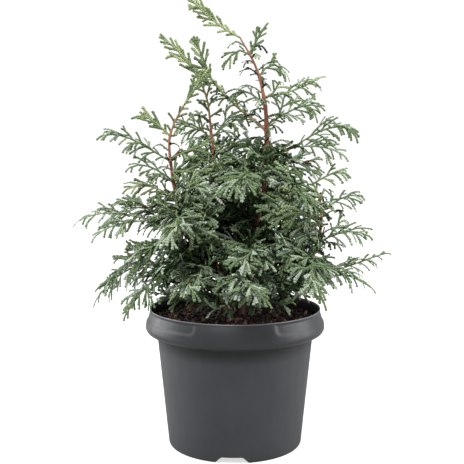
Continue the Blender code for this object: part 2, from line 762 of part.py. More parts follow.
class Plant:
    """The stems, boughs and masses, each cut clear of what was made before it."""

    def __init__(self) -> None:
        """Start with no limbs and the one cutter that keeps foliage off the pot."""
        self.paths: dict[str, Path] = {}
        self.wood: list[bpy.types.Object] = []
        self.leafy: list[bpy.types.Object] = []
        bm = bmesh.new()
        bmesh.ops.create_cone(bm, cap_ends=True, segments=24, radius1=CLEAR_RADIUS,
                              radius2=CLEAR_RADIUS, depth=CLEAR_HEIGHT)
        bmesh.ops.translate(bm, verts=bm.verts, vec=(0.0, 0.0, CLEAR_HEIGHT / 2))
        mesh = bpy.data.meshes.new("pot_keep_out")
        bm.to_mesh(mesh)
        bm.free()
        self.keep_out = new_object("pot_keep_out", mesh)

    def stem_radius(self, stem: Stem, share: float, length: float) -> float:
        """Return a stem's radius part of the way up.

        Args:
            stem: The stem.
            share: Share of its length.
            length: Its length in metres.

        Returns:
            The radius in metres.
        """
        taper = (1.0 - share) ** 1.2
        radius = (stem.tip_radius + (stem.foot_radius - stem.tip_radius) * taper) * MM
        if not stem.parent:
            radius += ROOT_FLARE * math.exp(-share * length / ROOT_FLARE_RISE)
        return radius

    def add_stem(self, stem: Stem) -> None:
        """Make a trunk or leader.

        Args:
            stem: Its sizes.
        """
        stations = [Vector(place) * MM for place in stem.route]
        if stem.parent:
            foot = self.leaving(stem.parent, stem.foot_height)
        else:
            first = stem.route[0]
            foot = Vector((first[0] * MM, first[1] * MM, stem.foot_height * MM))
        path = route_through([foot, *stations])
        self.paths[stem.name] = path
        shares = even_shares(path.length, STEM_STEP, 6)
        if not stem.parent:
            shares[1:1] = [rise / path.length for rise in FLARE_STATIONS]
        radii = [self.stem_radius(stem, share, path.length) for share in shares]
        sides = 6 if stem.parent else 8
        obj = tube(stem.name, path, shares, radii, 0.0, sides, Finish.BARK, not stem.parent)
        carve(obj, self.wood)
        self.wood.append(tube(f"{stem.name}_clearance", path, shares, radii, CUT_GAP, sides, None))

    def leaving(self, carrier_name: str, height: float | None) -> Vector:
        """Return where something leaves a carrier: on its axis, or just past its tip.

        Args:
            carrier_name: The stem or bough.
            height: Height on its axis, in mm, or None for its tip.

        Returns:
            The point.
        """
        carrier = self.paths[carrier_name]
        if height is None:
            return carrier.at(1.0) + carrier.direction(1.0) * GAP
        return carrier.at(carrier.share_at_height(height * MM))

    def add_bough(self, limb: Limb) -> None:
        """Make a bare bough, which ends where its masses begin.

        Args:
            limb: Its sizes.
        """
        path = limb_path(self.leaving(limb.carrier, limb.height), limb)
        self.paths[limb.name] = path
        foot_radius = (1.5 + limb.reach * 0.02) * MM
        tip_radius = foot_radius * 0.68
        shares = even_shares(path.length, BOUGH_STEP, 4)
        radii = [foot_radius + (tip_radius - foot_radius) * share for share in shares]
        obj = tube(limb.name, path, shares, radii, 0.0, 6, Finish.BARK)
        carve(obj, self.wood)
        self.wood.append(tube(f"{limb.name}_clearance", path, shares, radii, CUT_GAP, 6, None))

    def add_mass(self, mass: Mass, number: int) -> None:
        """Make a mass of foliage round the line of its limb.

        Args:
            mass: Its sizes.
            number: Its place in the list, which seeds its unevenness.
        """
        path = limb_path(self.leaving(mass.carrier, mass.height), mass)
        self.paths[mass.name] = path
        finish = Finish.TIP_FOLIAGE if mass.name in TIP_MASSES else Finish.FOLIAGE
        obj = new_object(mass.name, mass_mesh(mass, path, number, 0.0), finish)
        bpy.context.view_layer.update()
        carve(obj, [self.keep_out, *self.wood, *self.leafy])
        obj.data.materials.clear()
        obj.data.materials.append(material(finish))
        grown = new_object(f"{mass.name}_clearance", mass_mesh(mass, path, number, CUT_GAP))
        self.leafy.append(grown)

    def finish(self) -> None:
        """Remove the cutters."""
        drop([self.keep_out, *self.wood, *self.leafy])


def fullness(mass: Mass, share: float) -> float:
    """Return how wide a mass is part of the way out, as a share of its widest.

    Args:
        mass: Its sizes.
        share: Share of its length.

    Returns:
        From ENTRY_SHARE or 0 to 1.
    """
    if share < mass.fullest:
        swell = math.sin(0.5 * math.pi * share / mass.fullest)
        return ENTRY_SHARE + (1.0 - ENTRY_SHARE) * swell
    out = (share - mass.fullest) / (1.0 - mass.fullest)
    return (1.0 - out**1.7) ** 0.8


def mass_mesh(mass: Mass, path: Path, number: int, grow: float) -> bpy.types.Mesh:
    """Make a mass's closed mesh: uneven rings along the limb, a flat entry and a pointed tip.

    Args:
        mass: Its sizes.
        path: The line of its limb.
        number: Seeds its unevenness.
        grow: Added to every radius and to both ends, for a cutter.

    Returns:
        The mesh.
    """
    small = mass.width < SMALL_MASS
    sides = SMALL_SIDES if small else LARGE_SIDES
    rings = SMALL_RINGS if small else LARGE_RINGS
    angle = math.radians(mass.bearing)
    across = Vector((-math.sin(angle), math.cos(angle), 0.0))
    shift = Vector((MASS_SEED, number * 3.7, number * 1.3))
    bm = bmesh.new()
    loops = []
    for ring in range(rings):
        share = ring / rings
        center = path.at(share)
        forward = path.direction(share)
        turn = Matrix.Rotation(math.radians(mass.roll), 3, forward)
        side = turn @ across
        up = turn @ forward.cross(across)
        if ring == 0:
            center = center - forward * grow
        scale = fullness(mass, share)
        loop = []
        for index in range(sides):
            around = math.tau * (index + 0.5 * (ring % 2)) / sides
            offset = (side * math.cos(around) * mass.width + up * math.sin(around) * mass.depth)
            offset *= 0.5 * MM * scale
            bump = 1.0 + BUMP * noise.noise((center + offset) / BUMP_SIZE + shift)
            offset *= bump
            offset += offset.normalized() * grow
            loop.append(bm.verts.new(center + offset))
        loops.append(loop)
    bm.faces.new(reversed(loops[0]))
    for ring, (before, after) in enumerate(zip(loops, loops[1:])):
        for index in range(sides):
            following = (index + 1) % sides
            if ring % 2 == 0:
                bm.faces.new((before[index], before[following], after[index]))
                bm.faces.new((before[following], after[following], after[index]))
            else:
                bm.faces.new((before[index], before[following], after[following]))
                bm.faces.new((before[index], after[following], after[index]))
    tip = bm.verts.new(path.at(1.0) + path.direction(1.0) * grow)
    last = loops[-1]
    for index in range(sides):
        bm.faces.new((last[index], last[(index + 1) % sides], tip))
    bmesh.ops.recalc_face_normals(bm, faces=bm.faces)
    mesh = bpy.data.meshes.new(mass.name)
    bm.to_mesh(mesh)
    bm.free()
    return mesh


def main() -> None:
    """Build the pot, the soil and the plant."""
    logging.basicConfig(level=logging.INFO)
    clear_scene()
    build_pot()
    build_soil()
    plant = Plant()
    for stem in STEMS:
        plant.add_stem(stem)
    for limb in BOUGHS:
        plant.add_bough(limb)
    for number, mass in enumerate(MASSES):
        plant.add_mass(mass, number)
    plant.finish()
    triangles = sum(len(polygon.vertices) - 2
                    for obj in bpy.context.scene.objects for polygon in obj.data.polygons)
    log.info("%d pieces, %d triangles", len(bpy.context.scene.objects), triangles)


if __name__ == "__main__":
    main()
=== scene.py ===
"""The looks of a young potted sawara cypress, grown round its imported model.

Metres, +Z up, the front is -Y. Tables of sizes are in millimetres and degrees.
Bearings run anticlockwise seen from above: 0 is +X, 90 the back, 180 -X and 270 the front.
"""

import logging
import math
from dataclasses import dataclass, field, fields
from enum import Enum

import bmesh
import bpy
import numpy as np
from mathutils import Matrix, Vector, noise

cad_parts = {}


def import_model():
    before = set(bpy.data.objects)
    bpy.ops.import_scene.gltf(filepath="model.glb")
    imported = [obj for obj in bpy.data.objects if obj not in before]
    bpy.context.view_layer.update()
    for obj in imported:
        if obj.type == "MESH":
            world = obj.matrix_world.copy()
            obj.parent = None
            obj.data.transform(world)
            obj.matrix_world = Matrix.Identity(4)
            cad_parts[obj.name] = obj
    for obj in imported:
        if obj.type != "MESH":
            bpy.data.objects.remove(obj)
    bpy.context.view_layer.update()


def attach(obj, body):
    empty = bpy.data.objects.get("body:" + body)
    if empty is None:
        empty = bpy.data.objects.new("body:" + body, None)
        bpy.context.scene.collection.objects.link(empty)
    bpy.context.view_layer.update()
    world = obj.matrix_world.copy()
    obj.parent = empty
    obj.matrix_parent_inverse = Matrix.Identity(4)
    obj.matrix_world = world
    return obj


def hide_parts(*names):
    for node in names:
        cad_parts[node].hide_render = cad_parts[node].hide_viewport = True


log = logging.getLogger("potted_sawara_cypress_looks")

MM = 0.001
BODY = "root"
UP = np.array((0.0, 0.0, 1.0))
WHITE = (1.0, 1.0, 1.0, 1.0)
SENSOR = 36.0  # width of the camera's sensor, in mm
MERGE = 0.01 * MM  # points of a spun section nearer than this are one

Pair = tuple[float, float]
Triple = tuple[float, float, float]
Colour = tuple[int, int, int]  # a display colour: red, green and blue from 0 to 255
Array = np.ndarray
Socket = bpy.types.NodeSocket
Material = bpy.types.Material
Mesh = bpy.types.Mesh
BMesh = bmesh.types.BMesh


def linear(colour: Colour) -> tuple[float, float, float, float]:
    """Return a display colour as the scene-linear colour that a shader takes.

    Args:
        colour: The display colour.

    Returns:
        Red, green, blue and alpha.
    """
    found = []
    for value in colour:
        share = value / 255.0
        found.append(share / 12.92 if share <= 0.04045 else ((share + 0.055) / 1.055) ** 2.4)
    return (*found, 1.0)


def unit(vectors: Array) -> Array:
    """Return one vector, or rows of them, at length one."""
    size = np.linalg.norm(vectors, axis=-1, keepdims=True)
    return vectors / np.maximum(size, 1e-12)


def spin_about(vectors: Array, axes: Array, angles: Array) -> Array:
    """Turn each vector about its own axis.

    Args:
        vectors: One vector to a row.
        axes: One unit axis to a row.
        angles: One angle to a row, in radians.

    Returns:
        The turned vectors.
    """
    cos = np.cos(angles)[:, None]
    sin = np.sin(angles)[:, None]
    along = np.sum(vectors * axes, axis=1, keepdims=True)
    return vectors * cos + np.cross(axes, vectors) * sin + axes * along * (1.0 - cos)


# Materials


class Nodes:
    """A node tree under construction."""

    def __init__(self, tree: bpy.types.NodeTree) -> None:
        """Keep the tree."""
        self.tree = tree

    def node(self, kind: str, **inputs: float) -> bpy.types.Node:
        """Add a node and set its named inputs.

        Args:
            kind: The node's type name.
            **inputs: Values by socket name, with _ for a space.

        Returns:
            The node.
        """
        made = self.tree.nodes.new(kind)
        for name, value in inputs.items():
            made.inputs[name.replace("_", " ")].default_value = value
        return made

    def link(self, source: Socket, target: Socket) -> None:
        """Join two sockets."""
        self.tree.links.new(source, target)

    def spread(self, value: Socket, low: float, high: float,
               start: float = 0.3, end: float = 0.7) -> Socket:
        """Return a value carried from one range to another.

        Args:
            value: The value.
            low: Result where the value is start.
            high: Result where the value is end.
            start: Lower end of what comes in.
            end: Upper end of what comes in.

        Returns:
            The value socket.
        """
        made = self.node("ShaderNodeMapRange", From_Min=start, From_Max=end, To_Min=low, To_Max=high)
        self.link(value, made.inputs["Value"])
        return made.outputs["Result"]


class Surface(Nodes):
    """A Principled material under construction."""

    def __init__(self, name: str, roughness: float, specular: float) -> None:
        """Start a material with its constant sockets.

        Args:
            name: The material's name.
            roughness: Its roughness, for a finish that doesn't vary it.
            specular: Its specular level.
        """
        self.material = bpy.data.materials.new(name)
        self.material.use_nodes = True
        super().__init__(self.material.node_tree)
        self.shader = next(n for n in self.tree.nodes if n.type == "BSDF_PRINCIPLED")
        self.shader.inputs["Roughness"].default_value = roughness
        self.shader.inputs["Specular IOR Level"].default_value = specular

    def places(self, stretch: Triple = (1.0, 1.0, 1.0)) -> Socket:
        """Return the piece's own coordinates, stretched.

        Args:
            stretch: Scale along X, Y and Z.

        Returns:
            The vector socket.
        """
        texture = self.node("ShaderNodeTexCoord")
        mapping = self.node("ShaderNodeMapping")
        mapping.inputs["Scale"].default_value = stretch
        self.link(texture.outputs["Object"], mapping.inputs["Vector"])
        return mapping.outputs["Vector"]

    def noise(self, places: Socket, scale: float, detail: float = 3.0,
              roughness: float = 0.55) -> Socket:
        """Return a noise value.

        Args:
            places: Coordinates to read.
            scale: Patches to a metre.
            detail: Octaves.
            roughness: How strong the fine octaves are.

        Returns:
            The value socket.
        """
        made = self.node("ShaderNodeTexNoise", Scale=scale, Detail=detail, Roughness=roughness)
        self.link(places, made.inputs["Vector"])
        return made.outputs["Fac"]

    def ramp(self, value: Socket, stops: list[tuple[float, Colour]]) -> Socket:
        """Return a colour read from a ramp.

        Args:
            value: What picks the colour.
            stops: (place, display colour) pairs, upwards.

        Returns:
            The colour socket.
        """
        made = self.node("ShaderNodeValToRGB")
        elements = made.color_ramp.elements
        while len(elements) < len(stops):
            elements.new(0.5)
        for element, (place, colour) in zip(elements, stops):
            element.position = place
            element.color = linear(colour)
        self.link(value, made.inputs["Fac"])
        return made.outputs["Color"]

    def mix(self, factor: Socket, first: Socket | Colour, second: Socket | Colour,
            blend: str = "MIX") -> Socket:
        """Return two colours blended.

        Args:
            factor: Share of the second.
            first: The first colour, from a socket or plain.
            second: The second colour.
            blend: How they blend.

        Returns:
            The colour socket.
        """
        made = self.node("ShaderNodeMix")
        made.data_type = "RGBA"
        made.blend_type = blend
        self.link(factor, made.inputs[0])
        for part, socket in ((first, made.inputs[6]), (second, made.inputs[7])):
            if isinstance(part, tuple):
                socket.default_value = linear(part)
            else:
                self.link(part, socket)
        return made.outputs[2]

    def relief(self, height: Socket, strength: float, distance: float,
               under: Socket | None = None) -> Socket:
        """Return a bumped normal.

        Args:
            height: The height value.
            strength: From 0 to 1.
            distance: Height of a full bump, in metres.
            under: A normal that this one lies on.

        Returns:
            The normal socket.
        """
        made = self.node("ShaderNodeBump", Strength=strength, Distance=distance)
        self.link(height, made.inputs["Height"])
        if under is not None:
            self.link(under, made.inputs["Normal"])
        return made.outputs["Normal"]

    def finish(self, colour: Socket, roughness: Socket,
               normal: Socket) -> Material:
        """Join the three patterns to the shader.

        Args:
            colour: Its base colour.
            roughness: Its roughness.
            normal: Its normal.

        Returns:
            The material.
        """
        self.link(colour, self.shader.inputs["Base Color"])
        self.link(roughness, self.shader.inputs["Roughness"])
        self.link(normal, self.shader.inputs["Normal"])
        return self.material


@dataclass(frozen=True)
class MouldedPlastic:
    """Injection-moulded recycled plastic: a smooth collar over a wall with a dull skin.

    Attributes:
        body: The collar's main colour.
        worn: The colour of its faint scuffs.
        dull_body: The wall's main colour.
        dull_worn: The colour of its scuffs.
        satin: Lowest and highest roughness of the collar.
        duller: How much rougher the wall is.
        shine: How strongly it reflects.
        collar_foot: Heights between which the one skin passes into the other.
        grime: Painted shade: a dark colour painted on the wall just under the collar, where the
            collar's overhang shades it.
        grime_heights: Where that painted shade starts and where it is full.
        edge: Painted highlight: a light colour painted on the lip.
        lip_heights: Where that starts and where it is full.
    """

    body: Colour = (34, 35, 38)
    worn: Colour = (40, 42, 45)
    dull_body: Colour = (47, 49, 52)
    dull_worn: Colour = (53, 55, 58)
    satin: Pair = (0.4, 0.5)
    duller: float = 0.12
    shine: float = 0.36
    collar_foot: Pair = (117.0 * MM, 120.5 * MM)
    grime: Colour = (11, 12, 13)
    grime_heights: Pair = (103.0 * MM, 117.0 * MM)
    edge: Colour = (98, 101, 106)
    lip_heights: Pair = (144.9 * MM, 145.7 * MM)

    def material(self) -> Material:
        """Make the material.

        Returns:
            The material.
        """
        surface = Surface("moulded_plastic", self.satin[0], self.shine)
        places = surface.places()
        parts = surface.node("ShaderNodeSeparateXYZ")
        surface.link(places, parts.inputs[0])
        on_wall = surface.spread(parts.outputs["Z"], 1.0, 0.0, *self.collar_foot)
        cloud = surface.noise(places, 26.0, 5.0)
        smooth = surface.ramp(cloud, [(0.3, self.body), (0.74, self.worn)])
        dull = surface.ramp(cloud, [(0.3, self.dull_body), (0.74, self.dull_worn)])
        # Painted shade: the wall is painted darker just under the collar, in place of the shade of
        # its overhang
        painted_collar_shade_share = surface.spread(parts.outputs["Z"], 0.0, 1.0, *self.grime_heights)
        # Painted highlight: a thin light band painted round the lip
        at_lip = surface.spread(parts.outputs["Z"], 0.0, 1.0, *self.lip_heights)
        collar = surface.mix(at_lip, smooth, self.edge)
        colour = surface.mix(on_wall, collar, surface.mix(painted_collar_shade_share, dull, self.grime))
        streaks = surface.noise(surface.places((1.0, 1.0, 0.18)), 120.0, 3.0)
        rougher = surface.node("ShaderNodeMath")
        rougher.operation = "MULTIPLY_ADD"
        rougher.inputs[1].default_value = self.duller
        surface.link(on_wall, rougher.inputs[0])
        surface.link(surface.spread(streaks, *self.satin), rougher.inputs[2])
        roughness = rougher.outputs[0]
        skin = surface.noise(places, 900.0, 2.0)
        ripples = surface.noise(surface.places((1.0, 1.0, 0.3)), 38.0, 2.0)
        soft = surface.relief(ripples, 0.25, 0.4 * MM)
        return surface.finish(colour, roughness, surface.relief(skin, 0.22, 0.06 * MM, soft))


@dataclass(frozen=True)
class Peat:
    """Damp peat: nearly black with brown fibre.

    Attributes:
        name: The material's name.
        dark: The colour of its hollows.
        mid: Its main colour.
        light: The colour of its dry flecks.
    """

    name: str
    dark: Colour
    mid: Colour
    light: Colour

    def material(self) -> Material:
        """Make the material.

        Returns:
            The material.
        """
        surface = Surface(self.name, 0.9, 0.3)
        places = surface.places()
        grains = surface.noise(places, 330.0, 6.0, 0.7)
        colour = surface.ramp(grains, [(0.34, self.dark), (0.56, self.mid), (0.76, self.light)])
        damp = surface.noise(places, 60.0, 3.0)
        roughness = surface.spread(damp, 0.62, 0.96)
        return surface.finish(colour, roughness, surface.relief(grains, 0.9, 0.9 * MM))


@dataclass(frozen=True)
class Bark:
    """Thin fibrous bark that runs from green young wood through red to brown.

    Attributes:
        shoot: Colour of wood in its first year.
        young: Colour of wood in its second year.
        ripe: Colour of older wood.
        old: Colour at the foot.
        fissure: Colour of the cracks.
    """

    shoot: Colour = (116, 130, 80)
    young: Colour = (150, 102, 80)
    ripe: Colour = (126, 70, 54)
    old: Colour = (84, 54, 43)
    fissure: Colour = (46, 28, 22)

    def material(self) -> Material:
        """Make the material.

        Returns:
            The material.
        """
        surface = Surface("fibrous_bark", 0.72, 0.35)
        age = surface.node("ShaderNodeAttribute")
        age.attribute_name = "age"
        places = surface.places((1.0, 1.0, 0.22))
        fibres = surface.noise(places, 620.0, 5.0, 0.65)
        patches = surface.noise(surface.places(), 95.0, 3.0)
        skin = surface.ramp(age.outputs["Fac"], [(0.06, self.shoot), (0.3, self.young),
                                                 (0.6, self.ripe), (0.92, self.old)])
        cracks = surface.ramp(fibres, [(0.3, self.fissure), (0.55, (255, 255, 255))])
        cloud = surface.ramp(patches, [(0.3, (176, 170, 166)), (0.7, (255, 255, 255))])
        half = surface.spread(age.outputs["Fac"], 0.12, 0.8, 0.0, 1.0)
        colour = surface.mix(half, skin, surface.mix(half, skin, cracks, "MULTIPLY"))
        colour = surface.mix(half, colour, surface.mix(half, colour, cloud, "MULTIPLY"))
        roughness = surface.spread(fibres, 0.85, 0.6)
        return surface.finish(colour, roughness, surface.relief(fibres, 0.7, 0.35 * MM))


@dataclass(frozen=True)
class LeafTint:
    """One plain colour of scale leaves, dealt out by spray.

    Attributes:
        name: The material's name.
        colour: Its display colour.
        roughness: How dull its wax is.
    """

    name: str
    colour: Colour
    roughness: float = 0.62

    def material(self) -> Material:
        """Make the material.

        Returns:
            The material.
        """
        surface = Surface(self.name, self.roughness, 0.2)
        surface.shader.inputs["Base Color"].default_value = linear(self.colour)
        return surface.material


class Tone(Enum):
    """How light a shoot is painted within its hue: a copy with painted shade, the full colour and a
    copy with painted light.
    """

    DEEP = 0
    FULL = 1
    BLOOM = 2


TONES = len(Tone)

# Four greens from blue to yellow and one brown, each as a copy with painted shade, the full colour
# and a copy with painted light
HUES = {
    "glaucous": ((42, 61, 37), (106, 122, 96), (149, 161, 145)),
    "sea_green": ((35, 55, 27), (94, 112, 80), (136, 150, 126)),
    "leaf_green": ((36, 52, 24), (88, 106, 69), (128, 144, 106)),
    "fresh_green": ((54, 68, 28), (108, 122, 80), (144, 156, 114)),
    "withered": ((60, 38, 26), (106, 70, 46), (124, 86, 58)),
}
LEAF_TINTS = tuple(LeafTint(f"{hue}_{tone.name.lower()}", colours[tone.value])
                   for hue, colours in HUES.items() for tone in Tone)
GREENS = len(HUES) - 1  # the last hue is withered


# Lines of the limbs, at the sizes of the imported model


class Line:
    """A smooth line in space, read by its share of length."""

    NEAR = 0.01  # half the share of length over which a direction is measured

    def __init__(self, points: Array) -> None:
        """Keep the points and the length along them.

        Args:
            points: One point to a row, close together.
        """
        self.points = points
        steps = np.linalg.norm(np.diff(points, axis=0), axis=1)
        self.runs = np.concatenate([[0.0], np.cumsum(steps)])

    @property
    def length(self) -> float:
        """The whole length."""
        return float(self.runs[-1])

    def at(self, shares: Array | float) -> Array:
        """Return the points, one to a row, at shares of the length from foot to tip."""
        wanted = np.atleast_1d(np.clip(shares, 0.0, 1.0)) * self.length
        return np.stack([np.interp(wanted, self.runs, self.points[:, k]) for k in range(3)], 1)

    def heading(self, shares: Array | float) -> Array:
        """Return the unit directions, one to a row, at shares of the length."""
        shares = np.atleast_1d(shares)
        return unit(self.at(shares + self.NEAR) - self.at(shares - self.NEAR))

    def share_at_height(self, height: float) -> float:
        """Return the share of the length at which the line stands nearest a height."""
        nearest = int(np.argmin(np.abs(self.points[:, 2] - height)))
        return float(self.runs[nearest] / self.length)


def line_through(stations: Array, per_span: int = 24) -> Line:
    """Return a Catmull-Rom line through stations.

    Args:
        stations: The points to pass through, one to a row.
        per_span: How many points each span takes.

    Returns:
        The line.
    """
    ends = np.vstack([2 * stations[0] - stations[1], stations, 2 * stations[-1] - stations[-2]])
    t = (np.arange(per_span) / per_span)[:, None]
    points = []
    for a, b, c, d in zip(ends, ends[1:], ends[2:], ends[3:]):
        points.append(0.5 * (2 * b + (c - a) * t + (2 * a - 5 * b + 4 * c - d) * t**2
                             + (3 * b - a - 3 * c + d) * t**3))
    return Line(np.vstack([*points, stations[-1]]))


def bowed_line(start: Array, near: Array, far: Array, tip: Array,
               count: int = 48) -> Line:
    """Return a cubic curve.

    Args:
        start: Its first point.
        near: The handle of its first point.
        far: The handle of its last point.
        tip: Its last point.
        count: How many spans it takes.

    Returns:
        The line.
    """
    t = np.linspace(0.0, 1.0, count + 1)[:, None]
    u = 1.0 - t
    return Line(u**3 * start + 3 * u * u * t * near + 3 * u * t * t * far + t**3 * tip)


@dataclass(frozen=True)
class Stem:
    """An upright stem.

    Attributes:
        name: The CAD node.
        carrier: The stem it leaves, or nothing for the trunk.
        height: Height at which it leaves, in mm, or None for the carrier's tip.
        route: Points it passes through, in mm.
        foot_radius: Radius at its foot, in mm.
        tip_radius: Radius at its tip, in mm.
        age: How old the bark is at its foot and at its tip, from 0 to 1.
    """

    name: str
    carrier: str
    height: float | None
    route: tuple[Triple, ...]
    foot_radius: float
    tip_radius: float
    age: Pair


@dataclass(frozen=True)
class Limb:
    """A limb that leaves a carrier in a vertical plane.

    Attributes:
        name: The CAD node.
        carrier: The stem or bough it leaves.
        height: Height on the stem, in mm, or None for the carrier's tip.
        bearing: Direction seen from above, in degrees.
        reach: How far out its tip lies, in mm.
        rise: How far its tip lies above its start, in mm.
        lift: How far its near and its far third are raised, in mm.
    """

    name: str
    carrier: str
    height: float | None
    bearing: float
    reach: float
    rise: float
    lift: Pair

    def line_from(self, start: Array) -> Line:
        """Return the limb's line.

        Args:
            start: Where it starts.

        Returns:
            The line.
        """
        angle = math.radians(self.bearing)
        chord = np.array((math.cos(angle) * self.reach, math.sin(angle) * self.reach, self.rise))
        chord *= MM
        near = start + chord / 3 + UP * self.lift[0] * MM
        far = start + chord * 2 / 3 + UP * self.lift[1] * MM
        return bowed_line(start, near, far, start + chord)


@dataclass(frozen=True)
class Mass(Limb):
    """A limb clothed in sprays.

    Attributes:
        width: Widest measure across its flat, in mm.
        depth: Widest measure through it, in mm.
        roll: Turn of its flat about the limb, in degrees.
        hue: Where it lies between blue, 0, and yellow, 1.
    """

    width: float = 40.0
    depth: float = 20.0
    roll: float = 0.0
    hue: float = 0.3


SOIL_TOP = 136.0

STEMS = (
    Stem("trunk", "", SOIL_TOP + 0.3,
         ((3, 4, 142), (8, 5, 163), (16, 6, 206), (26, 4, 255), (32, 0, 297), (33, -2, 333),
          (30, -2, 366), (21, 0, 399), (5, 0, 428)), 6.2, 0.8, (1.0, 0.32)),
    Stem("left_leader", "trunk", 164,
         ((-26, -4, 193), (-50, -10, 225), (-60, -12, 258), (-68, -10, 313), (-64, -10, 337),
          (-53, -10, 358)), 4.0, 0.8, (0.95, 0.2)),
    Stem("middle_leader", "trunk", 184,
         ((-5, 20, 215), (-17, 24, 253), (-25, 22, 328), (-29, 14, 363), (-35, 10, 381)),
         3.4, 0.8, (0.9, 0.12)),
    Stem("inner_leader", "trunk", 331,
         ((22, 6, 342), (4, 10, 356), (-14, 10, 373), (-25, 8, 387)), 1.6, 0.8, (0.3, 0.02)),
    Stem("right_bough", "trunk", 172, ((38, -12, 182), (66, -26, 191)), 3.6, 2.6, (0.95, 0.5)),
    Stem("right_leader", "right_bough", None,
         ((75, -29, 198), (83, -30, 215), (88, -30, 240), (86, -30, 264), (79, -30, 279)),
         2.4, 0.8, (0.2, 0.0)),
)

# name, carrier, height, bearing, reach, rise, (near lift, far lift)
BOUGHS = (
    Limb("right_wing_bough", "trunk", 298, 340, 30, 17, (3, 3)),
    Limb("left_far_bough", "left_leader", 232, 183, 34, 9, (2, 3)),
    Limb("left_low_bough", "left_leader", 180, 184, 50, 10, (2, 4)),
    Limb("front_low_bough", "trunk", 166, 262, 40, 15, (2, 4)),
    Limb("back_left_bough", "trunk", 172, 132, 40, 14, (2, 4)),
    Limb("back_right_bough", "trunk", 176, 44, 38, 12, (2, 4)),
)

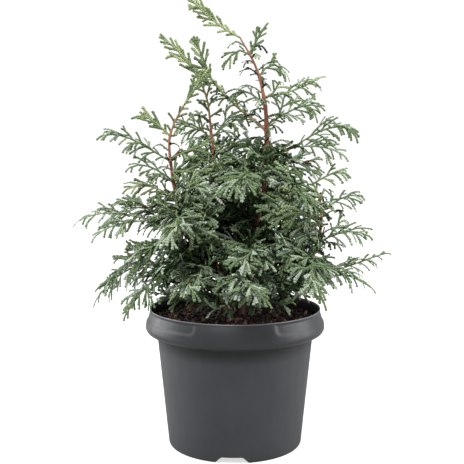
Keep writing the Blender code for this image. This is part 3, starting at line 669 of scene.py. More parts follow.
# name, carrier, height, bearing, reach, rise, (near lift, far lift), width, depth, roll, hue
MASSES = (
    Mass("top_spray", "trunk", None, 185, 49, 37, (-5, -5), 24, 10, -70, 0.9),
    Mass("crown_right_top", "trunk", 411, 16, 15, 26, (0, 2), 15, 9, 60, 0.7),
    Mass("crown_left_top", "trunk", 410, 196, 27, -10, (12, 12), 20, 10, -70, 0.6),
    Mass("crown_right_upper", "trunk", 388, 13, 29, 4, (14, 14), 32, 14, 60, 0.5),
    Mass("crown_right_fan", "trunk", 368, 18, 63, 21, (-5, -5), 33, 16, 60, 0.6),
    Mass("crown_right_mid", "trunk", 338, 349, 56, 18, (4, 14), 48, 24, 60, 0.45),
    Mass("crown_left_mid", "trunk", 358, 166, 34, 13, (8, 12), 28, 13, -60, 0.45),
    Mass("right_wing_upper", "right_wing_bough", None, 341, 63, 16, (8, 18), 33, 16, 60, 0.35),
    Mass("right_wing_lower", "right_wing_bough", None, 332, 54, -7, (4, 8), 26, 15, 60, 0.3),
    Mass("right_inner_high", "trunk", 284, 2, 50, 22, (8, 14), 52, 36, 50, 0.3),
    Mass("left_tip", "left_leader", None, 11, 21, 31, (0, 0), 26, 12, 70, 0.8),
    Mass("left_spur", "left_leader", 327, 191, 33, 20, (4, 10), 17, 9, -70, 0.75),
    Mass("left_wing_upper", "left_leader", 302, 190, 68, 27, (4, 14), 30, 15, -60, 0.35),
    Mass("left_wing_mid", "left_leader", 282, 194, 45, 14, (6, 13), 26, 18, -60, 0.35),
    Mass("left_wing_yellow", "left_leader", 262, 207, 54, 12, (8, 12), 30, 20, -55, 0.85),
    Mass("left_mid_short", "left_leader", 236, 158, 77, 25, (5, 5), 46, 32, -40, 0.3),
    Mass("left_far", "left_far_bough", None, 180, 76, -1, (6, 14), 34, 18, -50, 0.3),
    Mass("left_far_fork", "left_far_bough", None, 213, 62, -12, (2, 10), 34, 20, -40, 0.3),
    Mass("left_low_mid", "left_leader", 206, 198, 84, -4, (14, 18), 54, 36, -50, 0.25),
    Mass("left_low_far", "left_low_bough", None, 178, 87, -36, (18, 30), 48, 26, -50, 0.35),
    Mass("left_low_fork", "left_low_bough", None, 223, 68, -42, (10, 14), 42, 24, -40, 0.3),
    Mass("middle_tip", "middle_leader", None, 184, 39, 46, (8, 8), 22, 10, -75, 0.95),
    Mass("middle_left", "middle_leader", 322, 160, 42, 16, (8, 12), 46, 26, -60, 0.5),
    Mass("middle_right", "middle_leader", 326, 338, 46, 18, (8, 12), 46, 26, 50, 0.45),
    Mass("middle_front", "middle_leader", 292, 262, 58, 8, (10, 12), 58, 40, 0, 0.5),
    Mass("inner_tip", "inner_leader", None, 164, 16, 37, (0, 0), 24, 11, -60, 0.7),
    Mass("right_tip", "right_leader", None, 351, 32, 11, (2, 8), 28, 15, 55, 0.5),
    Mass("right_mid", "right_leader", 250, 14, 42, 15, (5, 10), 38, 22, 50, 0.4),
    Mass("right_low", "right_leader", 218, 349, 52, 9, (8, 12), 36, 24, 50, 0.4),
    Mass("front_low_right", "right_bough", 184, 250, 90, -8, (8, 12), 58, 30, -10, 0.3),
    Mass("right_far", "right_bough", 185, 21, 126, 15, (-18, -4), 34, 18, 40, 0.45),
    Mass("right_far_fork", "right_bough", 187, 352, 87, -14, (12, 14), 32, 18, 50, 0.35),
    Mass("front_upper", "trunk", 288, 247, 94, -12, (10, 16), 76, 38, 0, 0.4),
    Mass("front_upper_right", "trunk", 264, 300, 84, 0, (12, 18), 66, 38, -15, 0.3),
    Mass("front_upper_left", "left_leader", 244, 272, 94, -10, (14, 16), 66, 40, 10, 0.35),
    Mass("front_mid", "trunk", 204, 267, 106, 4, (14, 20), 80, 42, 0, 0.25),
    Mass("front_low", "front_low_bough", None, 274, 95, 4, (10, 12), 66, 30, 0, 0.25),
    Mass("front_low_left", "left_leader", 187, 256, 106, -6, (12, 14), 62, 34, 10, 0.25),
    Mass("front_right", "right_leader", 206, 262, 78, -24, (12, 14), 50, 34, -15, 0.3),
    Mass("back_left_low", "back_left_bough", None, 138, 98, -16, (14, 16), 78, 38, 15, 0.25),
    Mass("back_right_low", "back_right_bough", None, 34, 88, -14, (14, 16), 64, 36, -20, 0.25),
    Mass("back_low", "back_right_bough", None, 88, 100, -12, (12, 14), 66, 34, 0, 0.25),
    Mass("back_mid", "trunk", 222, 92, 101, 16, (12, 16), 76, 44, 0, 0.3),
    Mass("back_left_mid", "middle_leader", 232, 150, 90, 10, (12, 16), 70, 42, 25, 0.3),
    Mass("back_right_mid", "trunk", 232, 34, 92, 12, (12, 16), 72, 42, -25, 0.3),
    Mass("back_upper", "trunk", 272, 66, 66, 14, (10, 14), 64, 42, 0, 0.35),
)

TIP_MASSES = ("top_spray", "left_tip", "middle_tip", "inner_tip", "left_spur", "crown_right_top")
FULLEST = 0.42  # share of a mass's length at which it is widest
ENTRY_SHARE = 0.24  # its width where the limb enters it, as a share of its widest
DEEP_MASS = 30.0  # a mass at least this deep, in mm, is filled all round its limb
GOLDEN = 0.381966  # the turn between successive limbs round what carries them
INNER_SHADE = 0.8  # how much painted shade the foliage next to the stems takes
RIM_CLEARED = 86.0 * MM  # nearer the axis than this, sprays end above the pot
LOWEST_TIP = 173.0 * MM  # and no lower than this


def fullness(shares: Array) -> Array:
    """Return how wide a mass is part of the way out, as a share of its widest.

    Args:
        shares: Shares of its length.

    Returns:
        From 0 to 1.
    """
    swell = np.sin(0.5 * math.pi * np.clip(shares / FULLEST, 0.0, 1.0))
    out = np.clip((shares - FULLEST) / (1.0 - FULLEST), 0.0, 1.0)
    return np.where(shares < FULLEST, ENTRY_SHARE + (1.0 - ENTRY_SHARE) * swell,
                    (1.0 - out**1.7) ** 0.8)


class Skeleton:
    """The lines of every stem, bough and mass."""

    def __init__(self) -> None:
        """Work out every line."""
        self.lines: dict[str, Line] = {}
        for stem in STEMS:
            stations = np.array(stem.route, float) * MM
            if stem.carrier:
                foot = self.leaving(stem.carrier, stem.height)
            else:
                foot = np.array((*stem.route[0][:2], stem.height), float) * MM
            self.lines[stem.name] = line_through(np.vstack([foot, stations]))
        for limb in (*BOUGHS, *MASSES):
            self.lines[limb.name] = limb.line_from(self.leaving(limb.carrier, limb.height))

    def leaving(self, carrier: str, height: float | None) -> Array:
        """Return where a limb leaves its carrier.

        Args:
            carrier: The carrier's name.
            height: Height on its axis, in mm, or None for its tip.

        Returns:
            The point.
        """
        line = self.lines[carrier]
        share = 1.0 if height is None else line.share_at_height(height * MM)
        return line.at(share)[0]


# Meshes


def put(name: str, data: bpy.types.ID) -> bpy.types.Object:
    """Put an object in the scene.

    Args:
        name: Its name.
        data: What it shows.

    Returns:
        The object.
    """
    obj = bpy.data.objects.new(name, data)
    bpy.context.scene.collection.objects.link(obj)
    return obj


def new_piece(name: str, mesh: Mesh, materials: list[Material],
              slot: str, *nodes: str) -> None:
    """Put a mesh in the scene as a piece that rides on the pot's body.

    Args:
        name: The piece's name.
        mesh: Its mesh.
        materials: Its materials.
        slot: The record's material slot; not used.
        *nodes: The CAD nodes that it stands for.
    """
    mesh.name = name
    for item in materials:
        mesh.materials.append(item)
    obj = put(name, mesh)
    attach(obj, BODY)
    if nodes:
        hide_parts(*nodes)
    log.info("%s: %d faces", name, len(mesh.polygons))


def mesh_of(points: Array, faces: Array,
            tints: Array | None = None) -> Mesh:
    """Make a smooth mesh from arrays of points and equal-sided faces.

    Args:
        points: One point to a row.
        faces: Point numbers, one face to a row.
        tints: The material number of each face.

    Returns:
        The mesh.
    """
    mesh = bpy.data.meshes.new("joined")
    count, sides = faces.shape
    mesh.vertices.add(len(points))
    mesh.vertices.foreach_set("co", points.astype(np.float32).ravel())
    mesh.loops.add(count * sides)
    mesh.loops.foreach_set("vertex_index", faces.astype(np.int32).ravel())
    mesh.polygons.add(count)
    mesh.polygons.foreach_set("loop_start", np.arange(0, count * sides, sides, dtype=np.int32))
    if tints is not None:
        mesh.polygons.foreach_set("material_index", tints.astype(np.int32))
    mesh.update(calc_edges=True)
    mesh.shade_smooth()
    return mesh


def spun(profile: list[Pair], steps: int, closed: bool) -> BMesh:
    """Spin a section round the upright axis.

    Args:
        profile: Its (radius, height) points.
        steps: Divisions round it.
        closed: Whether its last point is joined to its first.

    Returns:
        The shape, with its doubles merged.
    """
    bm = bmesh.new()
    points = [bm.verts.new((radius, 0.0, height)) for radius, height in profile]
    onward = [*points[1:], points[0]] if closed else points[1:]
    edges = [bm.edges.new(pair) for pair in zip(points, onward)]
    bmesh.ops.spin(bm, geom=[*points, *edges], cent=(0.0, 0.0, 0.0), axis=(0.0, 0.0, 1.0),
                   angle=math.tau, steps=steps, use_merge=True)
    bmesh.ops.remove_doubles(bm, verts=bm.verts, dist=MERGE)
    return bm


def finished(bm: BMesh, name: str) -> Mesh:
    """Turn a bmesh into a mesh and free it.

    Args:
        bm: The bmesh.
        name: The mesh's name.

    Returns:
        The mesh.
    """
    mesh = bpy.data.meshes.new(name)
    bm.to_mesh(mesh)
    bm.free()
    return mesh


@dataclass
class Tubes:
    """Many tapering tubes gathered into one mesh.

    Attributes:
        sides: Sides of each tube.
        points: Points so far.
        faces: Faces so far.
        ages: The bark's age at each point.
        count: How many points there are.
    """

    sides: int
    points: list[Array] = field(default_factory=list)
    faces: list[Array] = field(default_factory=list)
    ages: list[Array] = field(default_factory=list)
    count: int = 0

    def add(self, centers: Array, headings: Array, radii: Array,
            ages: Array, swell: Array | None = None) -> None:
        """Add one tube, closed at both ends.

        Args:
            centers: Its axis, one point to a row.
            headings: Unit directions along it.
            radii: Its radius at each point.
            ages: The bark's age at each point.
            swell: Factors on the radius, one row for each ring and one column for each side.
        """
        side = np.cross(headings, UP)
        if np.linalg.norm(side, axis=1).min() < 0.2:
            side = np.cross(headings, (0.36, 0.93, 0.0))
        side = unit(side)
        over = np.cross(side, headings)
        turn = np.arange(self.sides) * math.tau / self.sides
        spokes = (side[:, None, :] * np.cos(turn)[None, :, None]
                  + over[:, None, :] * np.sin(turn)[None, :, None])
        reach = radii[:, None] * (1.0 if swell is None else swell)
        rings = centers[:, None, :] + spokes * np.broadcast_to(
            reach, (len(centers), self.sides))[:, :, None]
        lower = centers[0] - headings[0] * radii[0] * 0.3
        upper = centers[-1] + headings[-1] * radii[-1] * 0.6
        made = np.vstack([rings.reshape(-1, 3), lower, upper])
        index = np.arange(len(centers) * self.sides).reshape(len(centers), self.sides)
        ahead = np.roll(index, -1, axis=1)
        walls = np.stack([index[:-1], index[1:], ahead[1:], ahead[:-1]], -1).reshape(-1, 4)
        foot = np.full(self.sides, len(made) - 2)
        tip = np.full(self.sides, len(made) - 1)
        halves = np.vstack([walls[:, [0, 1, 2]], walls[:, [0, 2, 3]]])
        ends = np.vstack([np.stack([index[0], ahead[0], foot], 1),
                          np.stack([ahead[-1], index[-1], tip], 1)])
        self.points.append(made)
        self.faces.append(np.vstack([halves, ends]) + self.count)
        self.ages.append(np.concatenate([np.repeat(ages, self.sides), ages[:1], ages[-1:]]))
        self.count += len(made)

    def mesh(self) -> Mesh:
        """Join the tubes and note the bark's age at each point.

        Returns:
            The mesh.
        """
        mesh = mesh_of(np.vstack(self.points), np.vstack(self.faces))
        layer = mesh.attributes.new("age", "FLOAT", "POINT")
        layer.data.foreach_set("value", np.concatenate(self.ages).astype(np.float32))
        return mesh


# Pot and peat


@dataclass
class Pot:
    """A round nursery pot: a thin tapering wall, a bulging collar with recessed grips.

    Attributes:
        height: Height of the lip.
        lip: Radius of the lip.
        collar: Radius of the collar at its widest.
        collar_height: Height of the collar.
        bulge_drop: From the lip down to the collar's widest ring.
        wall_top: Radius where the wall leaves the collar.
        wall_drop: From the lip down to that place.
        base: Radius at the foot.
        wall: Thickness.
        foot: Width of the foot ring.
        plate: Height of the floor's underside.
        steps: Divisions round the pot.
        notches: How many notches the foot has.
        notch_bearing: Bearing of the first notch, in degrees.
        notch_width: Widths of a notch at its top and its foot.
        notch_height: Height of a notch.
        drains: How many drain holes lie round the middle one.
        drain: Radius of a drain hole.
        drain_ring: Radius of the circle of outer holes.
        grip_half: Half angle of the plain part between two recessed grips, in degrees.
        grip_depth: How deep a grip is.
        grip_drop: From the lip down to a grip's lower ledge.
        grip_corner: Radius of a grip's lower corners.
        grip_top: From the lip down to a grip's upper end.
        grip_fade: How fast it deepens from there.
        grip_edge: Width of its sloping edge.
    """

    height: float = 146.3 * MM
    lip: float = 90.7 * MM
    collar: float = 95.0 * MM
    collar_height: float = 25.6 * MM
    bulge_drop: float = 19.0 * MM
    wall_top: float = 82.6 * MM
    wall_drop: float = 30.0 * MM
    base: float = 70.9 * MM
    wall: float = 1.5 * MM
    foot: float = 4.6 * MM
    plate: float = 7.0 * MM
    steps: int = 256
    notches: int = 3
    notch_bearing: float = 267.4
    notch_width: Pair = (22.0 * MM, 35.0 * MM)
    notch_height: float = 6.4 * MM
    drains: int = 4
    drain: float = 5.0 * MM
    drain_ring: float = 42.0 * MM
    grip_half: float = 25.0
    grip_depth: float = 1.25 * MM
    grip_drop: float = 13.5 * MM
    grip_corner: float = 7.0 * MM
    grip_top: float = 1.6 * MM
    grip_fade: float = 1.6
    grip_edge: float = 2.6 * MM

    def wall_radius(self, height: float) -> float:
        """Return the wall's outer radius at a height."""
        share = height / (self.height - self.wall_drop)
        return self.base + (self.wall_top - self.base) * share

    @staticmethod
    def moved(radius: float, height: float, *steps: Pair) -> list[Pair]:
        """Return (radius, height) points so many mm out and up from a place."""
        return [(radius + out * MM, height + up * MM) for out, up in steps]

    def profile(self) -> list[Pair]:
        """Return the closed half section, down the outside and up the inside.

        Returns:
            (radius, height) points.
        """
        collar_foot = self.height - self.collar_height
        bulge = self.height - self.bulge_drop
        ledge = self.height - self.wall_drop
        ring = self.base - self.foot
        stations = [*self.moved(self.lip, self.height, (-0.2, -1.1)),
                    *self.moved(self.collar, self.height, (-2.4, -7.0), (-0.9, -13.0)),
                    *self.moved(self.collar, bulge, (0.0, 0.0), (-0.8, -3.6)),
                    *self.moved(self.collar, collar_foot, (-3.0, 0.5), (-4.6, 0.05))]
        skirt = line_through(np.array([(radius, 0.0, height) for radius, height in stations]))
        outside = self.moved(self.lip, self.height, (-1.35, -0.5), (-1.1, -0.12), (-0.7, 0.0),
                             (-0.25, -0.15), (-0.02, -0.55))
        outside += [(p[0], p[2]) for p in skirt.at(np.linspace(0.0, 1.0, 26))]
        outside += self.moved(self.collar, collar_foot, (-6.0, 0.3))
        outside += self.moved(self.wall_top, collar_foot, (2.2, -0.4), (0.7, -1.6))
        outside += self.moved(self.wall_top, ledge, (0.1, 0.0))
        heights = [*np.linspace(ledge - 4.0 * MM, 4.0 * MM, 14), 2.2 * MM]
        outside += [(self.wall_radius(z), z) for z in heights]
        outside += self.moved(self.base, 0.0, (-0.25, 1.0), (-0.9, 0.3), (-1.9, 0.0))
        outside += self.moved(ring, 0.0, (0.0, 0.0), (-0.4, 0.5))
        outside += self.moved(ring, self.plate, (-1.0, 0.0), (-14.0, 0.0))
        inside = [(26.0 * MM, self.plate + self.wall),
                  (self.wall_radius(self.plate) - self.wall, self.plate + self.wall)]
        inside += [(self.wall_radius(z) - self.wall, z) for z in np.linspace(12 * MM, 112 * MM, 8)]
        inside += [
            (self.wall_top - self.wall, ledge),
            (self.wall_top + 3.0 * MM - self.wall, collar_foot + 1.5 * MM),
            (self.collar - 3.1 * MM, collar_foot + 3.0 * MM),
            (self.collar - self.wall, bulge + 1.0 * MM),
            (self.collar - 0.8 * MM - self.wall, self.height - 13.0 * MM),
            (self.collar - 2.4 * MM - self.wall, self.height - 7.0 * MM),
            (self.lip - 1.6 * MM, self.height - 1.4 * MM),
        ]
        return outside + [(0.0, self.plate), (0.0, self.plate + self.wall)] + inside

    def grip_share(self, bearing: float, height: float) -> float:
        """Return how far into a recessed grip a place on the collar lies.

        Args:
            bearing: Its bearing, in radians.
            height: Its height.

        Returns:
            From 0 outside the grip to 1 on its floor.
        """
        turn = math.degrees(bearing) - 270.0
        from_plain = abs((turn + 90.0) % 180.0 - 90.0)
        sideways = (from_plain - self.grip_half) * math.radians(1.0) * self.collar
        down = self.height - height
        above_ledge = self.grip_drop - down
        corner = self.grip_corner
        if sideways < corner and above_ledge < corner:
            inward = corner - math.hypot(corner - sideways, corner - above_ledge)
        else:
            inward = min(sideways, above_ledge)
        inward = min(inward, (down - self.grip_top) * self.grip_fade)
        share = min(max(inward / self.grip_edge, 0.0), 1.0)
        return share * share * (3.0 - 2.0 * share)

    def shell(self) -> Mesh:
        """Spin the section and press the grips into the collar.

        Returns:
            The mesh, not yet cut.
        """
        bm = spun(self.profile(), self.steps, True)
        lowest = self.height - self.bulge_drop
        for vert in bm.verts:
            radius = math.hypot(vert.co.x, vert.co.y)
            if vert.co.z < lowest or vert.co.z > self.height - 1.2 * MM:
                continue
            bearing = math.atan2(vert.co.y, vert.co.x)
            pressed = self.grip_depth * self.grip_share(bearing, vert.co.z)
            if radius > self.collar - 4.6 * MM:
                scale = (radius - pressed) / radius
                vert.co.x *= scale
                vert.co.y *= scale
        bmesh.ops.recalc_face_normals(bm, faces=bm.faces)
        return finished(bm, "pot_shell")

    def notch(self, index: int) -> BMesh:
        """Make the wedge that cuts one notch in the foot.

        Args:
            index: Which notch.

        Returns:
            The cutter.
        """
        bm = bmesh.new()
        below = 2.0 * MM
        top, bottom = self.notch_width
        low_half = (bottom + (bottom - top) / self.notch_height * below) / 2
        outline = [(-low_half, -below), (low_half, -below),
                   (top / 2, self.notch_height), (-top / 2, self.notch_height)]
        inner, outer = self.base - 9.0 * MM, self.base + 6.0 * MM
        face = bm.faces.new([bm.verts.new((inner, y, z)) for y, z in outline])
        grown = bmesh.ops.extrude_face_region(bm, geom=[face])
        moved = [item for item in grown["geom"] if isinstance(item, bmesh.types.BMVert)]
        bmesh.ops.translate(bm, verts=moved, vec=(outer - inner, 0.0, 0.0))
        upper = [e for e in bm.edges if all(v.co.z > self.notch_height - 0.1 * MM for v in e.verts)]
        along = [e for e in upper if abs(e.verts[0].co.x - e.verts[1].co.x) > 1.0 * MM]
        bmesh.ops.bevel(bm, geom=along, offset=1.6 * MM, affect="EDGES", segments=4, profile=0.5,
                        material=-1)
        turn = math.radians(self.notch_bearing) + math.tau * index / self.notches
        bmesh.ops.rotate(bm, verts=bm.verts, cent=(0.0, 0.0, 0.0),
                         matrix=Matrix.Rotation(turn, 3, "Z"))
        bmesh.ops.recalc_face_normals(bm, faces=bm.faces)
        return bm

    def drain_plug(self, place: Vector) -> BMesh:
        """Make the plug that cuts one drain hole.

        Args:
            place: Its centre.

        Returns:
            The cutter.
        """
        bm = bmesh.new()
        bmesh.ops.create_cone(bm, cap_ends=True, segments=28, radius1=self.drain,
                              radius2=self.drain, depth=8.0 * MM)
        bmesh.ops.translate(bm, verts=bm.verts, vec=place)
        return bm

    def build(self) -> None:
        """Make the pot, cut its notches and drain holes, and dress it."""
        plastic = MouldedPlastic().material()
        cutters = [self.notch(index) for index in range(self.notches)]
        cutters.append(self.drain_plug(Vector((0.0, 0.0, self.plate))))
        for index in range(self.drains):
            angle = math.tau * (index + 0.5) / self.drains
            place = Vector((math.cos(angle), math.sin(angle), 0.0)) * self.drain_ring
            cutters.append(self.drain_plug(place + Vector((0.0, 0.0, self.plate))))
        shell = put("pot_blank", self.shell())
        helpers = []
        for index, bm in enumerate(cutters):
            name = f"cutter_{index}"
            helper = put(name, finished(bm, name))
            helpers.append(helper)
            cut = shell.modifiers.new(helper.name, "BOOLEAN")
            cut.operation = "DIFFERENCE"
            cut.solver = "EXACT"
            cut.object = helper
        bpy.context.view_layer.update()
        graph = bpy.context.evaluated_depsgraph_get()
        mesh = bpy.data.meshes.new_from_object(shell.evaluated_get(graph))
        for helper in (shell, *helpers):
            bpy.data.objects.remove(helper)
        mesh.shade_smooth()
        mesh.set_sharp_from_angle(angle=math.radians(40))
        new_piece("pot_shell", mesh, [plastic], "pot_plastic", "pot")


@dataclass
class PeatBed:
    """The peat that fills the pot, with loose crumbs on top.

    Attributes:
        top: Height of its level middle.
        edge_radius: Its radius at the top.
        edge_drop: How far its edge lies under the middle.
        level_radius: Radius of the level ground at the trunk.
        bottom: Height of its underside.
        roughness: How far its top rises and sinks.
        octaves: The size and the strength of each layer of its lumps.
        steps: Divisions round it.
        crumbs: How many loose crumbs it has.
        crumb_sizes: Smallest and largest crumb.
        seed: Seed of the crumbs.
    """

    top: float = SOIL_TOP * MM
    edge_radius: float = 91.0 * MM
    edge_drop: float = 2.0 * MM
    level_radius: float = 14.0 * MM
    bottom: float = 8.8 * MM
    roughness: float = 1.9 * MM
    octaves: tuple[Pair, ...] = ((13.0 * MM, 0.9), (4.4 * MM, 0.5), (1.9 * MM, 0.26))
    steps: int = 150
    crumbs: int = 4200
    crumb_sizes: Pair = (0.6 * MM, 3.2 * MM)
    seed: int = 5

    def surface(self, x: float, y: float) -> float:
        """Return the height of the peat's top at a place.

        Args:
            x: Across.
            y: Back.

        Returns:
            The height.
        """
        radius = math.hypot(x, y)
        base = self.top - self.edge_drop * (radius / self.edge_radius) ** 2
        calm = min(max((radius - self.level_radius) / (10.0 * MM), 0.0), 1.0)
        calm *= min(max((self.edge_radius - radius) / (6.0 * MM), 0.0), 1.0) * 0.7 + 0.3
        place = Vector((x, y, 0.0))
        swell = sum(noise.noise(place / size) * share for size, share in self.octaves)
        return base + self.roughness * calm * swell

    def bed(self, pot: Pot) -> Mesh:
        """Spin the bed and roughen its top.

        Args:
            pot: The pot that it fills.

        Returns:
            The mesh.
        """
        inset = pot.wall + 0.3 * MM
        side = [(self.edge_radius - 0.6 * MM, self.top - 8.0 * MM),
                (pot.wall_top + 1.0 * MM - inset, pot.height - pot.collar_height + 1.8 * MM),
                (pot.wall_top - inset, pot.height - pot.wall_drop),
                (pot.wall_radius(self.bottom) - inset, self.bottom)]
        radii = np.linspace(self.edge_radius, 0.0, 58)
        profile = [(float(r), self.top) for r in radii[::-1]] + side + [(0.0, self.bottom)]
        bm = spun(profile, self.steps, False)
        for vert in bm.verts:
            if vert.co.z > self.top - 1.0 * MM:
                vert.co.z = self.surface(vert.co.x, vert.co.y)
        bmesh.ops.recalc_face_normals(bm, faces=bm.faces)
        mesh = finished(bm, "peat_bed")
        mesh.shade_smooth()
        return mesh

    def crumb_mesh(self) -> Mesh:
        """Scatter crumbs, fibres and flakes of bark over the top.

        Returns:
            One joined mesh.
        """
        rng = np.random.default_rng(self.seed)
        bm = bmesh.new()
        bmesh.ops.create_icosphere(bm, subdivisions=1, radius=1.0)
        bm.verts.ensure_lookup_table()
        ball = np.array([v.co[:] for v in bm.verts])
        faces = np.array([[v.index for v in f.verts] for f in bm.faces])
        bm.free()
        radii = np.sqrt(rng.random(self.crumbs))
        bearings = rng.random(self.crumbs) * math.tau
        small, large = self.crumb_sizes
        sizes = small + (large - small) * rng.random(self.crumbs) ** 3.2
        squash = rng.uniform(0.35, 1.0, (self.crumbs, 3))
        kinds = rng.choice(3, self.crumbs, p=(0.62, 0.3, 0.08))
        squash[:, 0] *= np.where(rng.random(self.crumbs) < 0.12, 3.0, 1.0)
        radii *= self.edge_radius - 0.6 * MM - sizes * squash.max(axis=1) * 1.2
        x, y = radii * np.cos(bearings), radii * np.sin(bearings)
        z = np.array([self.surface(a, b) for a, b in zip(x, y)])
        axes = unit(rng.normal(size=(self.crumbs, 3)))
        angles = rng.random(self.crumbs) * math.tau
        lumps = rng.uniform(0.78, 1.18, (self.crumbs, len(ball), 1))
        shapes = ball[None] * lumps * squash[:, None, :] * sizes[:, None, None]
        flat = shapes.reshape(-1, 3)
        turned = spin_about(flat, np.repeat(axes, len(ball), 0), np.repeat(angles, len(ball)))
        centers = np.stack([x, y, z + sizes * 0.25], 1)
        points = turned + np.repeat(centers, len(ball), 0)
        shift = (np.arange(self.crumbs) * len(ball))[:, None, None]
        return mesh_of(points, (faces[None] + shift).reshape(-1, 3), np.repeat(kinds, len(faces)))

    def build(self, pot: Pot) -> None:
        """Make the bed and its crumbs and dress them.

        Args:
            pot: The pot that holds them.
        """
        damp = Peat("damp_peat", (15, 10, 9), (40, 28, 24), (80, 58, 49)).material()
        brown = Peat("brown_crumb", (42, 27, 22), (98, 67, 55), (142, 103, 85)).material()
        husk = Peat("bark_flake", (94, 67, 55), (152, 117, 98), (200, 170, 150)).material()
        new_piece("peat_bed", self.bed(pot), [damp], "peat", "soil")
        new_piece("peat_crumbs", self.crumb_mesh(), [damp, brown, husk], "peat")


# Wood


@dataclass
class Wood:
    """The stems and the bare boughs, with the relief of their bark.

    Attributes:
        skeleton: The lines.
        sides: Sides of a stem.
        step: Between the rings.
        flare: How much the trunk widens at its foot.
        flare_rise: How fast it narrows again.
        ridge: Depth of the fibres, as a share of the radius.
        seed: Seed of the relief.
        power: How much faster a stem thins near its foot than near its tip.
        knot: How much a stem swells where a limb leaves it, and how far along it.
        bough_foot: Radius of a bough at its foot, in mm, before its reach's share.
        bough_share: How much its reach adds to that.
        bough_taper: How much it has thinned at its tip.
        bough_age: How old its bark is at its foot and at its tip.
        first_bough: Number of the first bough's relief.
    """

    skeleton: Skeleton
    sides: int = 20
    step: float = 1.5 * MM
    flare: float = 3.4 * MM
    flare_rise: float = 7.0 * MM
    ridge: float = 0.1
    seed: int = 3
    power: float = 1.2
    knot: Pair = (0.22, 3.2 * MM)
    bough_foot: float = 1.5
    bough_share: float = 0.02
    bough_taper: float = 0.32
    bough_age: Pair = (0.85, 0.5)
    first_bough: int = 20

    def stem_radii(self, stem: Stem, shares: Array, length: float) -> Array:
        """Return a stem's radius at shares of its length.

        Args:
            stem: The stem.
            shares: Shares of its length.
            length: Its length.

        Returns:
            The radii.
        """
        taper = (1.0 - shares) ** self.power
        radii = (stem.tip_radius + (stem.foot_radius - stem.tip_radius) * taper) * MM
        if not stem.carrier:
            radii = radii + self.flare * np.exp(-shares * length / self.flare_rise)
        return radii

    def relief(self, centers: Array, number: int) -> Array:
        """Return factors on the radius that raise fibres and lumps.

        Args:
            centers: The stem's rings.
            number: Which stem.

        Returns:
            One row for each ring and one column for each side.
        """
        made = np.ones((len(centers), self.sides))
        for row in range(len(centers)):
            run = row * self.step
            for side in range(self.sides):
                turn = math.tau * side / self.sides
                around = Vector((math.cos(turn) * 2.6, math.sin(turn) * 2.6, 0.0))
                place = around + Vector((number * 5.1, self.seed, run / (9.0 * MM)))
                fibre = 1.0 - abs(noise.noise(place * 1.3)) * 2.2
                lump = noise.noise(place * 0.45 + Vector((0.0, 3.0, 0.0)))
                made[row, side] += self.ridge * (fibre * 0.6 + lump * 0.9)
        return made

    def knots(self, name: str, runs: Array) -> Array:
        """Return how a stem swells where limbs leave it.

        Args:
            name: The stem.
            runs: Lengths along it.

        Returns:
            Factors on the radius.
        """
        swell = np.ones(len(runs))
        line = self.skeleton.lines[name]
        for limb in (*BOUGHS, *MASSES, *STEMS):
            if limb.carrier == name and limb.height is not None:
                run = line.share_at_height(limb.height * MM) * line.length
                swell += self.knot[0] * np.exp(-((runs - run) / self.knot[1]) ** 2)
        return swell

    def build(self) -> None:
        """Make every stem and bough as a piece of its own."""
        bark = Bark().material()
        for number, stem in enumerate((*STEMS, *BOUGHS)):
            line = self.skeleton.lines[stem.name]
            shares = np.linspace(0.0, 1.0, max(8, int(line.length / self.step)))
            centers, headings = line.at(shares), line.heading(shares)
            if isinstance(stem, Stem):
                if not stem.carrier:
                    headings[:2] = UP
                radii = self.stem_radii(stem, shares, line.length)
                radii = radii * self.knots(stem.name, shares * line.length)
                ages = stem.age[0] + (stem.age[1] - stem.age[0]) * shares
            else:
                number += self.first_bough - len(STEMS)
                radii = (self.bough_foot + stem.reach * self.bough_share) * MM
                radii = radii * (1.0 - self.bough_taper * shares)
                ages = self.bough_age[0] + (self.bough_age[1] - self.bough_age[0]) * shares
            tubes = Tubes(self.sides)
            tubes.add(centers, headings, radii, ages, self.relief(centers, number))
            new_piece(f"{stem.name}_bark", tubes.mesh(), [bark], "bark", stem.name)


# Sprays


@dataclass
class Shoots:
    """Many leafy shoots of one order, one to a row. Each is a shallow arc.

    Attributes:
        foot: Where each starts.
        heading: Its unit direction at the foot.
        face: The unit normal of its flat.
        bend: How its direction changes along it, to a metre.
        length: Its length.
        width: Width of its leaves.
        hue: Its hue's number.
        tone: Its tone's number.
        depth: Thickness of its leaves as a share of the width.
    """

    foot: Array
    heading: Array
    face: Array
    bend: Array
    length: Array
    width: Array
    hue: Array
    tone: Array
    depth: Array

    def __len__(self) -> int:
        """Return how many shoots there are."""
        return len(self.length)

    def at(self, rows: Array, runs: Array) -> Array:
        """Return points, given which shoot each is on and how far along it lies."""
        runs = runs[:, None]
        return self.foot[rows] + self.heading[rows] * runs + 0.5 * self.bend[rows] * runs**2

    def along(self, rows: Array, runs: Array) -> Array:
        """Return unit directions, given as the points are."""
        return unit(self.heading[rows] + self.bend[rows] * runs[:, None])

    def arrays(self) -> list[Array]:
        """Return the arrays in the order of the attributes."""
        return [getattr(self, item.name) for item in fields(self)]

    def chosen(self, rows: Array) -> "Shoots":
        """Return the shoots that a mask picks."""
        return Shoots(*(part[rows] for part in self.arrays()))

    @staticmethod
    def joined(groups: list["Shoots"]) -> "Shoots":
        """Return several groups as one."""
        return Shoots(*(np.concatenate(part) for part in zip(*(g.arrays() for g in groups))))


def dealt(counts: Array) -> tuple[Array, Array]:
    """Return the row of each item and its place there, given how many each row holds."""
    rows = np.repeat(np.arange(len(counts)), counts)
    return rows, np.arange(len(rows)) - np.repeat(np.cumsum(counts) - counts, counts)


